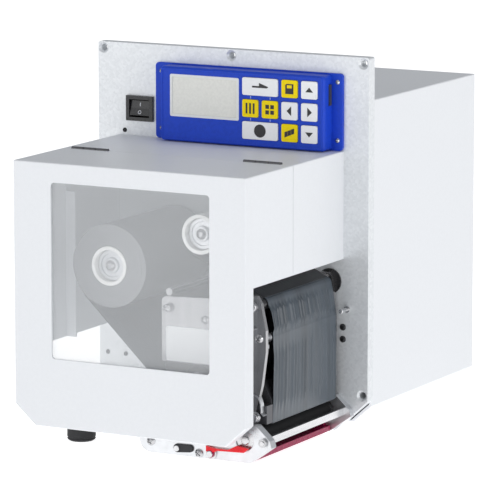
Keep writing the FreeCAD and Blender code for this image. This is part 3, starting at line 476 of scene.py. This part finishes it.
# %% The machine's screws
cross_head = screw_head_object("cross_head", "cross")
hexagon_head = screw_head_object("hexagon_head", "hexagon")
BEARING_FRONT = -140
HEAD_FRONT = -130
REEL_SCREW_Y = -112.5
PIVOT = (15.2, -133, 113.5)
BEARING_SCREWS = [(4.7, BEARING_FRONT, 9), (47.4, BEARING_FRONT, 3.6)]
FLANGE_SCREWS = [(x, -3, z) for x in (96.4, -62) for z in (279.7, 233.5)]
SMALL_PLATE_SCREWS = [(-115, 0, 44.6), (-98.2, 0, 44.4), (-98, 0, 229)]
TENSION_SCREWS = [(100.4, 0, 84.1), (100.4, 0, 74.4)]
HEAD_SCREWS = [(47.1, HEAD_FRONT, 106.6), (94.6, HEAD_FRONT, 96)]
SUPPLY_SCREW = (SUPPLY[0], REEL_SCREW_Y, SUPPLY[1])
TAKEUP_SCREW = (TAKEUP[0], REEL_SCREW_Y, TAKEUP[1])
frame_screws = repeat("frame_screws", cross_head, BEARING_SCREWS, 3.6, "screw_steel", "chassis")
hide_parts("chassis_screws")
repeat("panel_screws", cross_head, FLANGE_SCREWS, 1.9, "screw_steel", "chassis")
repeat("plate_screws", hexagon_head, SMALL_PLATE_SCREWS, 1.9, "black_metal", "chassis")
repeat("tension_screws", hexagon_head, TENSION_SCREWS, 2.7, "black_metal", "chassis")
head_screws = repeat("head_plate_screws", cross_head, HEAD_SCREWS, 3.4, "screw_steel", "head_unit")
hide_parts("head_screws")
repeat("pivot_screw", cross_head, [PIVOT], 3.4, "screw_steel", "chassis")
repeat("reel_screw_supply", hexagon_head, [SUPPLY_SCREW], 4.4, "screw_steel", "supply_reel")
repeat("reel_screw_takeup", hexagon_head, [TAKEUP_SCREW], 4.4, "screw_steel", "takeup_reel")

# %% [markdown]
# Each reel's hub is seen through the window as rings inside one another: the
# pale end of the card core, a dark gap, then the turned nose of the hub with
# its screw. The nose is turned on a lathe, so a spun profile is the honest
# way to make it.


# %% Reel hub noses
HUB_NOSE = [(-109, 0.4), (-109, 12.2), (-110.6, 12.2), (-111, 11.8), (-111, 9.6), (-109.6, 9.2), (-109.6, 6.4),
            (-112.2, 6.0), (-112.6, 5.5), (-112.6, 0.4)]
turned_piece("supply_hub_nose", SUPPLY, "machined_aluminium", "supply_reel", HUB_NOSE)
turned_piece("takeup_hub_nose", TAKEUP, "machined_aluminium", "takeup_reel", HUB_NOSE)


def core_end(name, centre, body):
    """The core's end ring, with the notch that keys it to the hub."""
    outer, inner, front, back = 15.5, 12.9, -115.4, -114.6
    steps, notch_start, notch_end = 72, 52, 56
    outlines = []
    for i in [i for i in range(steps) if not notch_start <= i <= notch_end]:
        a0, a1 = 2 * math.pi * i / steps, 2 * math.pi * (i + 1) / steps
        outlines.append([(centre[0] + r * math.cos(a), centre[1] + r * math.sin(a))
                         for r, a in ((outer, a0), (outer, a1), (inner, a1), (inner, a0))])
    return add_piece(name, plate_mesh(outlines, front, back), "card_core", body, smooth=False)


core_end("supply_core_end", SUPPLY, "supply_reel")
core_end("takeup_core_end", TAKEUP, "takeup_reel")

# %% [markdown]
# The film runs from the supply roll round the lower nose of the print head,
# across the print line, up over a bar and the guide roller, and on to the
# take-up. A circle with a sign says which way the film turns round it, and
# the straight runs are the tangents between the circles. Loose film creases
# along its travel, so ridges run with it. They fade at each fold and towards
# the mounting plate.

# %% The film's path
HALF_GAP = 0.5
FOLD_SLACK = 0.06
ARC_STEP = 0.12
RUN_STEP = 1.6
NOSE = (22, 34.3, -5.0 - HALF_GAP)
EDGE = (96.6, 28.8, -1.2 - HALF_GAP)
BAR = (94.1, 95, -4.0 - HALF_GAP)
GUIDE = (88.8, 120.4, -4.9 - HALF_GAP)
SUPPLY_TURN = (*SUPPLY, -33.0 - HALF_GAP)
TAKEUP_TURN = (*TAKEUP, 16.6 + HALF_GAP)


def heading(first, second):
    across, up = second[0] - first[0], second[1] - first[1]
    return math.atan2(up, across) - math.asin((first[2] - second[2]) / math.hypot(across, up))


def rim(circle, angle):
    return circle[0] - math.sin(angle) * circle[2], circle[1] + math.cos(angle) * circle[2]


def film_path(circles, looseness, first_turn=None, last_turn=None):
    """Points along the film with its normals and slack; each straight run has its own looseness."""
    turns = [heading(a, b) for a, b in zip(circles, circles[1:])]
    points = []

    def arc(circle, start, end, first=1, last=0):
        swing = math.remainder(end - start, 2 * math.pi)
        count = max(3, int(abs(swing) / ARC_STEP))
        for i in range(first, count + last):
            angle = start + swing * i / count
            points.append((*rim(circle, angle), angle, FOLD_SLACK))

    if first_turn is not None:
        arc(circles[0], first_turn, turns[0], first=0)
    for i, angle in enumerate(turns):
        start, end = rim(circles[i], angle), rim(circles[i + 1], angle)
        count = max(4, int(math.dist(start, end) / RUN_STEP))
        for j in range(count + 1):
            share = j / count
            slack = max(FOLD_SLACK, looseness[i] * min(1, 1.5 * math.sin(math.pi * share)) ** 2)
            x = start[0] + (end[0] - start[0]) * share
            z = start[1] + (end[1] - start[1]) * share
            points.append((x, z, angle, slack))
        if i < len(turns) - 1:
            arc(circles[i + 1], angle, turns[i + 1])
    if last_turn is not None:
        arc(circles[-1], turns[-1], last_turn, last=1)
    return points


# %% A wrinkled strip of film
FILM_FRONT, FILM_BACK, FILM_THICK = -115.0, -8.0, 0.22
FILM_COLUMNS = 150
CALM_AT_PLATE = 0.7


def ridge(share, drift, waves):
    """How far the film stands out at one place across its width."""
    height = 0.0
    for count, phase, weight in waves:
        height += weight * (1 - abs(math.sin(math.pi * count * (share + drift) + phase)))
    return height


def film_strip(name, points, crease, slot="ribbon_film"):
    """A thin closed sheet along the points, with ridges up to the given height."""
    columns = FILM_COLUMNS
    chance = random.Random(11)
    waves = [(chance.uniform(9, 34), chance.uniform(0, 6), chance.uniform(0.25, 1.0)) for _ in range(5)]
    total = sum(w[2] for w in waves)
    mesh = bpy.data.meshes.new(name)
    shape = bmesh.new()
    sheets = []
    for side in (1, -1):
        rows = []
        for index, (x, z, angle, slack) in enumerate(points):
            nx, nz = -math.sin(angle), math.cos(angle)
            row = []
            for column in range(columns + 1):
                share = column / columns
                drift = 0.02 * math.sin(index * 0.03 + share * 3)
                calm = 1 - CALM_AT_PLATE * share
                lift = crease * slack * calm * ridge(share, drift, waves) / total
                reach = -lift + side * FILM_THICK / 2
                across = FILM_FRONT + (FILM_BACK - FILM_FRONT) * share
                row.append(shape.verts.new(at(x + nx * reach, across, z + nz * reach)))
            rows.append(row)
        sheets.append(rows)
    for side, rows in enumerate(sheets):
        for upper, lower in zip(rows, rows[1:]):
            for column in range(columns):
                quad = (upper[column], upper[column + 1], lower[column + 1], lower[column])
                shape.faces.new(quad if side == 0 else tuple(reversed(quad)))
    top, under = sheets
    for i in range(len(points) - 1):
        for column in (0, columns):
            shape.faces.new((top[i][column], top[i + 1][column], under[i + 1][column], under[i][column]))
    for i in (0, -1):
        for column in range(columns):
            shape.faces.new((top[i][column], top[i][column + 1], under[i][column + 1], under[i][column]))
    bmesh.ops.recalc_face_normals(shape, faces=shape.faces)
    shape.to_mesh(mesh)
    shape.free()
    mesh.materials.append(finishes[slot])
    for face in mesh.polygons:
        face.use_smooth = True
    item = bpy.data.objects.new(name, mesh)
    bpy.context.scene.collection.objects.link(item)
    print(name, "faces:", len(mesh.polygons))
    return item


supply_heading = heading(SUPPLY_TURN, NOSE)
takeup_heading = heading(GUIDE, TAKEUP_TURN)
head_path = film_path([NOSE, EDGE, BAR, GUIDE], (0.3, 0.7, 1.2), supply_heading, takeup_heading)
head_film = film_strip("ribbon_film_wrinkled", head_path, 3.2)
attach(head_film, "head_unit")
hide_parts("ribbon_film_on_head")

# %% [markdown]
# The two free runs of film join pieces that move apart when the head lifts.
# Each run is its own strip, fixed where it stands at rest and attached to
# neither body.

# %% The free runs of film
supply_run = film_strip("ribbon_film_supply_run", film_path([SUPPLY_TURN, NOSE], (1,)), 0.5)
# The take-up run wears the darker film copy, which is painted shade.
takeup_run = film_strip("ribbon_film_takeup_run", film_path([GUIDE, TAKEUP_TURN], (1,)), 0.5, "shaded_film")
for run, reel, roller, angle in ((supply_run, SUPPLY_TURN, NOSE, supply_heading),
                                 (takeup_run, TAKEUP_TURN, GUIDE, takeup_heading)):
    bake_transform(run)
    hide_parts("ribbon_film_spans")

# %% [markdown]
# Each key has a pictogram printed on it. They are thin shapes that ride on
# their own key, so they travel with it: arrows, a dot, bars, squares and
# stacked sheets. None of them is lettering.

# %% Key pictograms
KEY_FRONT = -17.8
INK = (KEY_FRONT - 0.12, KEY_FRONT + 0.3)


def key_middle(node):
    low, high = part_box(node)
    return ((low[0] + high[0]) / 2 - PLATE_X) / MM, ((low[2] + high[2]) / 2 - plate_low[2]) / MM


def pictogram(node, outlines):
    x, z = key_middle(node)
    placed = [[(x + px, z + pz) for px, pz in outline] for outline in outlines]
    return add_piece(node + "_pictogram", plate_mesh(placed, *INK), "icon_ink", node + "_body", smooth=False)


def box_outline(x0, x1, z0, z1):
    return [(x0, z0), (x1, z0), (x1, z1), (x0, z1)]


pictogram("feed_key", [[(-7, -0.7), (6.4, -0.7), (7.4, 0.4), (-0.8, 3.2), (-0.8, 0.7), (-7, 0.7)]])
pictogram("up_key", [[(-3.4, -1.6), (3.4, -1.6), (0, 2.2)]])
pictogram("down_key", [[(-3.4, 1.6), (0, -2.2), (3.4, 1.6)]])
pictogram("left_key", [[(1.6, -3.8), (1.6, 3.8), (-2.4, 0)]])
pictogram("right_key", [[(-1.6, -3.8), (2.4, 0), (-1.6, 3.8)]])
pictogram("pause_key", [disc(0, 0, 5.2)])
pictogram("menu_key", [box_outline(x - 0.8, x + 0.8, -4.2, 4.2) for x in (-3.2, 0, 3.2)])
pictogram("function_key", [box_outline(x - 1.6, x + 1.6, z - 1.6, z + 1.6)
                           for x in (-2.2, 2.2) for z in (-2.2, 2.2)])
pictogram("load_key", [[(-3.6, -4), (3.6, -4), (3.6, 4), (-2.6, 4), (-3.6, 3)]])
pictogram("pages_key", [[(x - 1.8, z - 2.4), (x + 0.9, z - 1.5), (x + 0.9, z + 2.7), (x - 1.8, z + 1.8)]
                        for x, z in ((-2.4, -1.2), (0.5, 0), (3.4, 1.2))])
load_x, load_z = key_middle("load_key")
slot_outline = box_outline(load_x - 2.1, load_x + 2.1, load_z + 0.6, load_z + 3.0)
load_slot = plate_mesh([slot_outline], KEY_FRONT - 0.2, KEY_FRONT)
add_piece("load_key_slot", load_slot, "yellow_key", "load_key_body", smooth=False)

# %% [markdown]
# The panel's face has a pale frame round the display, and fine lines that
# join the feed key to the keys below it. The frame stands a little proud of
# the face, as a moulded window does.


# %% The panel's face
def ring_mesh(x0, x1, z0, z1, width, radius, front, back):
    """A closed rectangular frame of even thickness."""
    mesh = bpy.data.meshes.new("ring")
    shape = bmesh.new()
    outer = rounded(x0, x1, z0, z1, radius)
    inner = rounded(x0 + width, x1 - width, z0 + width, z1 - width, max(0.1, radius - width))
    loops = [[shape.verts.new(at(x, y, z)) for x, z in outline]
             for outline, y in ((outer, front), (outer, back), (inner, back), (inner, front))]
    count = len(outer)
    for first, second in zip(loops, loops[1:] + loops[:1]):
        for i in range(count):
            after = (i + 1) % count
            shape.faces.new((first[i], first[after], second[after], second[i]))
    bmesh.ops.recalc_face_normals(shape, faces=shape.faces)
    shape.to_mesh(mesh)
    shape.free()
    return mesh


FACE = -17.0
display_frame = ring_mesh(-46.4, 16.0, 245.8, 279.7, 2.0, 1.4, FACE - 0.25, FACE + 0.4)
add_piece("display_frame", display_frame, "mark_white", "chassis")
panel_rim = ring_mesh(-54.6, 90.1, 227.0, 284.1, 1.5, 2.4, FACE - 0.35, FACE + 0.5)
add_piece("panel_rim", panel_rim, "blue_plastic", "chassis")
LINE_X = (26.5, 44.0)
lines = [box_outline(x - 0.3, x + 0.3, z0, z1) for x in LINE_X for z0, z1 in ((246.6, 248.7), (264.1, 266.2))]
add_piece("panel_lines", plate_mesh(lines, FACE - 0.1, FACE + 0.2), "line_blue", "chassis", smooth=False)

# %% [markdown]
# A rocker switch has a stroke and a ring moulded into its two halves. Each
# half slopes, so the marks are made flat and then tipped onto the slope.

# %% Marks on the rocker
ROCKER_X, ROCKER_Z = -83.35, 247.55
STROKE_Z, RING_Z = ROCKER_Z + 3.0, ROCKER_Z - 3.1


def tipped(mesh, z_middle, y_at_middle, slope):
    """Lean a flat mark made at y = 0 onto a sloping half of the rocker."""
    pivot = at(ROCKER_X, 0, z_middle)
    lean = Matrix.Translation(at(ROCKER_X, y_at_middle, z_middle)) @ Matrix.Rotation(slope, 4, "X")
    mesh.transform(lean @ Matrix.Translation(-pivot))
    return mesh


upper_slope = math.atan2(1.0, 6.1)
lower_slope = math.atan2(1.6, 5.7)
stroke_outline = box_outline(ROCKER_X - 0.35, ROCKER_X + 0.35, ROCKER_Z + 1.6, ROCKER_Z + 4.4)
stroke = tipped(plate_mesh([stroke_outline], -0.12, 0.25), STROKE_Z, -0.10, -upper_slope)
add_piece("rocker_stroke", stroke, "mark_white", "rocker", smooth=False)
ring = ring_mesh(ROCKER_X - 1.5, ROCKER_X + 1.5, ROCKER_Z - 4.6, ROCKER_Z - 1.6, 0.45, 1.45, -0.12, 0.25)
add_piece("rocker_ring", tipped(ring, RING_Z, -1.47, -lower_slope), "mark_white", "rocker")

# %% [markdown]
# The front bearing plate carries a dark link, a washer behind the lever, the
# shielded face of the roller's bearing, and a hexagon nut. The end of the
# lever's pivot turns with the lever, and the roller's shaft with the roller.


# %% Fittings on the front bearing plate
def link_outline(x0, z0, r0, x1, z1, r1, steps=16):
    """A link with a round at each end."""
    along = math.atan2(z1 - z0, x1 - x0)
    outline = []
    for (x, z, r), start in (((x1, z1, r1), along - math.pi / 2), ((x0, z0, r0), along + math.pi / 2)):
        for i in range(steps + 1):
            angle = start + math.pi * i / steps
            outline.append((x + r * math.cos(angle), z + r * math.sin(angle)))
    return outline


LINK_END = (28.6, 6.0)
LEVER_PIVOT = (58.4, 4.6)
PRINT_ROLLER = (87.3, 17.5)
PEEL_STUD = (103.6, 17.4)
NUT_RADIUS, NUT_TURN = 3.8, 20
link = plate_mesh([link_outline(*LINK_END, 3.4, 39.6, 6.6, 3.0)], BEARING_FRONT - 1.6, BEARING_FRONT, 0.3)
add_piece("bearing_plate_link", link, "black_metal", "chassis")
turned_piece("link_bush", LINK_END, "ground_steel", "chassis",
             [(-143.2, 0.5), (-143.2, 2.0), (-142.9, 2.4), (-141.4, 2.4), (-141.4, 0.5)])
turned_piece("lever_washer", LEVER_PIVOT, "ground_steel", "chassis",
             [(-141.7, 3.15), (-141.7, 4.4), (-141.5, 4.6), (-140.1, 4.6), (-140.1, 3.15)])
turned_piece("lever_pivot_end", LEVER_PIVOT, "ground_steel", "lever",
             [(-144.4, 0.4), (-144.4, 2.2), (-144.1, 2.6), (-143.0, 2.6), (-143.0, 0.4)])
turned_piece("bearing_shield", PRINT_ROLLER, "ground_steel", "chassis",
             [(-138.9, 4.3), (-138.9, 7.4), (-138.7, 7.7), (-138.3, 7.7), (-138.3, 4.3)])
turned_piece("roller_shaft_end", PRINT_ROLLER, "ground_steel", "print_roller",
             [(-139.9, 0.3), (-139.9, 2.8), (-139.5, 3.4), (-138.9, 3.6), (-138.9, 0.3)])
hexagon = [(PEEL_STUD[0] + NUT_RADIUS * math.cos(math.radians(60 * i + NUT_TURN)),
            PEEL_STUD[1] + NUT_RADIUS * math.sin(math.radians(60 * i + NUT_TURN))) for i in range(6)]
nut = plate_mesh([hexagon], BEARING_FRONT - 2.6, BEARING_FRONT, 0.3)
add_piece("peel_plate_nut", nut, "screw_steel", "chassis")
turned_piece("peel_plate_stud", PEEL_STUD, "ground_steel", "chassis",
             [(-143.6, 0.2), (-143.6, 1.6), (-143.3, 1.9), (-142.4, 1.9), (-142.4, 0.2)])

# %% [markdown]
# The head unit's front plate carries a plain pale label, two bar ends, an
# adjuster, and a small bright tab near the print line. Behind it a bright
# sleeve and a clip show beside the film. A short pin stands out of the
# mounting plate beside the head.


# %% Fittings on the head unit
def strip_mesh(path, y_front, y_back, thick):
    """A bent metal strip: a path in drawing x and z, given a thickness."""
    outline = []
    for side in (1, -1):
        pass_points = path if side == 1 else list(reversed(path))
        for i, (x, z) in enumerate(pass_points):
            before = pass_points[max(0, i - 1)]
            after = pass_points[min(len(pass_points) - 1, i + 1)]
            along = Vector((after[0] - before[0], after[1] - before[1])).normalized()
            outline.append((x - along.y * thick / 2, z + along.x * thick / 2))
    return plate_mesh([outline], y_front, y_back, 0.12)


label = plate_mesh([rounded(13, 74, 72, 99, 1.5)], HEAD_FRONT - 0.25, HEAD_FRONT)
add_piece("head_label", label, "mark_white", "head_unit", smooth=False)
turned_piece("deflector_end", (89.2, 103), "ground_steel", "head_unit",
             [(-133.4, 0.3), (-133.4, 1.5), (-133.1, 1.9), (-130, 1.9), (-130, 0.3)])
turned_piece("deflector_sleeve", BAR[:2], "machined_aluminium", "head_unit",
             [(-128.6, 2.25), (-128.6, 2.5), (-128.2, 2.9), (-118.4, 2.7), (-116.4, 2.5), (-116.4, 2.25)])
clip = strip_mesh([(91.6, 90.4), (95.4, 90.4), (96.4, 89.4), (96.4, 86.6)], -128.2, -118.0, 1.0)
add_piece("head_spring_clip", clip, "machined_aluminium", "head_unit")
tab = strip_mesh([(90, 52), (94.5, 50), (96.2, 45), (96.6, 38), (99.0, 36.2)], -131.4, -126.4, 1.0)
add_piece("head_tab", tab, "machined_aluminium", "head_unit")
turned_piece("head_adjuster", (91.5, 34.5), "ground_steel", "head_unit",
             [(-134.5, 0.4), (-134.5, 3.2), (-134.1, 3.6), (-131.2, 3.6), (-130.9, 4.4), (-130, 4.4),
              (-130, 0.4)])
turned_piece("plate_pin", (104.3, 98.9), "ground_steel", "chassis",
             [(-12, 0.3), (-12, 1.4), (-11.6, 1.8), (-9, 1.8), (-8.7, 1.5), (-1.2, 1.5), (-1.2, 2.6), (0, 2.6),
              (0, 0.3)])
turned_piece("guide_axle_end", GUIDE[:2], "ground_steel", "head_unit",
             [(-132.4, 0.4), (-132.4, 3.2), (-131.9, 3.7), (-130.9, 3.9), (-130.9, 4.5), (-130, 4.5),
              (-130, 0.4)])

# %% [markdown]
# The back panel has three interface ports, and a screw near each corner. Each
# port's dark hollow is painted shade: a flat black sheet in its metal shell.
# Both are placed from the solid parts, so they stay where the ports and the
# panel are.

# %% Painted shade in the ports, and back panel screws
port_low, port_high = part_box("interface_ports")
PORT_X = (port_low[0] - PLATE_X) / MM
PORT_Y = (port_high[1] - plate_low[1]) / MM
PORT_EDGE_X, PORT_EDGE_Z = 1.8, 2
for name, z0, z1, width in (("low_port_opening", 62, 78, 16), ("middle_port_opening", 86, 101, 17),
                            ("tall_port_opening", 112, 143, 13)):
    outline = rounded(PORT_X + PORT_EDGE_X, PORT_X + width - PORT_EDGE_X, z0 + PORT_EDGE_Z, z1 - PORT_EDGE_Z,
                      0.8)
    # A flat black sheet at the port's face: painted shade for its hollow.
    port_shade_sheet = plate_mesh([outline], PORT_Y - 0.1, PORT_Y + 0.15)
    add_piece(name, port_shade_sheet, "black_plastic", "chassis", smooth=False)
panel_low, panel_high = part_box("rear_panel")
SCREW_INSET, SCREW_RISE = 7, 30
PANEL_Y = (panel_high[1] - plate_low[1]) / MM
PANEL_X = ((panel_low[0] - PLATE_X) / MM + SCREW_INSET, (panel_high[0] - PLATE_X) / MM - SCREW_INSET)
PANEL_Z = ((panel_low[2] - plate_low[2]) / MM + SCREW_RISE, (panel_high[2] - plate_low[2]) / MM - SCREW_INSET)
PANEL_SCREW = [(-0.2, 0.3), (-0.2, 3.4), (0.8, 3.2), (1.6, 2.2), (1.6, 1.2), (0.8, 1.1), (0.8, 0.3)]
for side, x in zip(("left", "right"), PANEL_X):
    for level, z in zip(("low", "high"), PANEL_Z):
        turned_piece("%s_%s_panel_screw" % (level, side), (x, z), "screw_steel", "chassis",
                     [(PANEL_Y + along, radius) for along, radius in PANEL_SCREW])

# %% [markdown]
# The feet are moulded rubber with a rounded lower edge and a groove. The front
# ones are taller than the rear ones, so one of each is turned, and Geometry
# Nodes repeats it where the machine stands.

# %% Feet
FRONT_FOOT_TOP, REAR_FOOT_TOP = 9.0, 5.9
FLOOR_BELOW_PLATE = 2
FRONT_FEET = [(-71, -118, FRONT_FOOT_TOP), (37, -60, FRONT_FOOT_TOP)]
REAR_FEET = [(-66, 165, REAR_FOOT_TOP), (66, 165, REAR_FOOT_TOP)]
FOOT_STEPS = 48


def foot_template(name, height):
    """One rubber foot with its top at the origin, in a unit of one millimetre."""
    mesh = bpy.data.meshes.new(name)
    shape = bmesh.new()
    profile = [(0, 0.3), (0, 10.7), (-0.8, 11.3), (-height + 3.4, 11.4), (-height + 3.0, 10.9),
               (-height + 2.2, 10.9), (-height + 1.8, 11.3), (-height + 0.9, 10.9), (-height, 9.6),
               (-height, 0.3)]
    turns = [math.tau * i / FOOT_STEPS for i in range(FOOT_STEPS)]
    rings = [[shape.verts.new((r * math.cos(turn), r * math.sin(turn), z)) for turn in turns]
             for z, r in profile]
    for first, second in zip(rings, rings[1:]):
        for i in range(FOOT_STEPS):
            after = (i + 1) % FOOT_STEPS
            shape.faces.new((first[i], first[after], second[after], second[i]))
    shape.faces.new(rings[0])
    shape.faces.new(rings[-1])
    bmesh.ops.recalc_face_normals(shape, faces=shape.faces)
    shape.to_mesh(mesh)
    shape.free()
    item = bpy.data.objects.new(name, mesh)
    bpy.context.scene.collection.objects.link(item)
    return item


front_foot = foot_template("front_foot", FRONT_FOOT_TOP + FLOOR_BELOW_PLATE)
rear_foot = foot_template("rear_foot", REAR_FOOT_TOP + FLOOR_BELOW_PLATE)
front_feet = repeat("front_feet", front_foot, FRONT_FEET, 1.0, "foot_rubber", "chassis", 0.0)
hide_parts("feet")
repeat("rear_feet", rear_foot, REAR_FEET, 1.0, "foot_rubber", "chassis", 0.0)
for template in (cross_head, hexagon_head, front_foot, rear_foot):
    bpy.data.objects.remove(template)

# %% [markdown]
# The floor is plain and gives off its own pale light, so it stays white round
# the machine. Two large soft lights stand in front of the machine and to its
# right, with less light from above, so the front and side are bright and the
# top is a shade darker. A weak light behind the window shows the reels. The
# camera stands well back with a long lens, a little above the machine.

# %% Floor
FLOOR_HALF = 30
floor_mesh = bpy.data.meshes.new("floor")
floor_corners = [(FLOOR_HALF * x, FLOOR_HALF * y, 0) for x, y in ((-1, -1), (1, -1), (1, 1), (-1, 1))]
floor_mesh.from_pydata(floor_corners, [], [(0, 1, 2, 3)])
floor = bpy.data.objects.new("floor", floor_mesh)
bpy.context.scene.collection.objects.link(floor)
pale_floor = finish("pale_floor", (0.55, 0.55, 0.55), 0.75, grain=40, bump=0.01, vary=0.002)
floor_shader = pale_floor.node_tree.nodes["Principled BSDF"]
floor_shader.inputs["Emission Color"].default_value = (1, 1, 1, 1)
floor_shader.inputs["Emission Strength"].default_value = 0.92
floor_mesh.materials.append(pale_floor)


# %% Lights
def soft_light(name, place, aim, size, power):
    lamp = bpy.data.lights.new(name, "AREA")
    lamp.shape = "RECTANGLE"
    lamp.size, lamp.size_y = size
    lamp.energy = power
    item = bpy.data.objects.new(name, lamp)
    item.location = place
    item.rotation_euler = (Vector(aim) - Vector(place)).to_track_quat("-Z", "Y").to_euler()
    bpy.context.scene.collection.objects.link(item)
    return item


soft_light("front_light", (-0.9, -2.8, 0.75), (0, 0, 0.15), (2.2, 1.3), 15)
soft_light("right_light", (2.9, -0.7, 0.65), (0, 0, 0.15), (2.0, 1.2), 19)
soft_light("top_light", (0.3, 0.2, 2.6), (0, 0, 0.2), (1.6, 1.6), 8)
soft_light("bay_light", at(-10, -152, 130), at(-10, 0, 120), (0.16, 0.13), 0.03)
world = bpy.data.worlds.new("studio")
bpy.context.scene.world = world
world.use_nodes = True
world.node_tree.nodes["Background"].inputs["Color"].default_value = (0.93, 0.96, 1, 1)
world.node_tree.nodes["Background"].inputs["Strength"].default_value = 0.40
bpy.context.scene.view_settings.view_transform = "Standard"

# %% Camera
AZIMUTH, ELEVATION = math.radians(28.16), math.radians(9.60)
AIM = Vector((0.0391, -0.060, 0.1494))
STAND_BACK = 3.198
backwards = Vector((math.sin(AZIMUTH) * math.cos(ELEVATION), -math.cos(AZIMUTH) * math.cos(ELEVATION),
                    math.sin(ELEVATION)))
lens = bpy.data.cameras.new("camera")
lens.sensor_width = 36
lens.lens = 292
camera = bpy.data.objects.new("camera", lens)
camera.location = AIM + backwards * STAND_BACK
camera.rotation_euler = backwards.to_track_quat("Z", "Y").to_euler()
bpy.context.scene.collection.objects.link(camera)
bpy.context.scene.camera = camera
print("camera at", [round(v, 3) for v in camera.location])
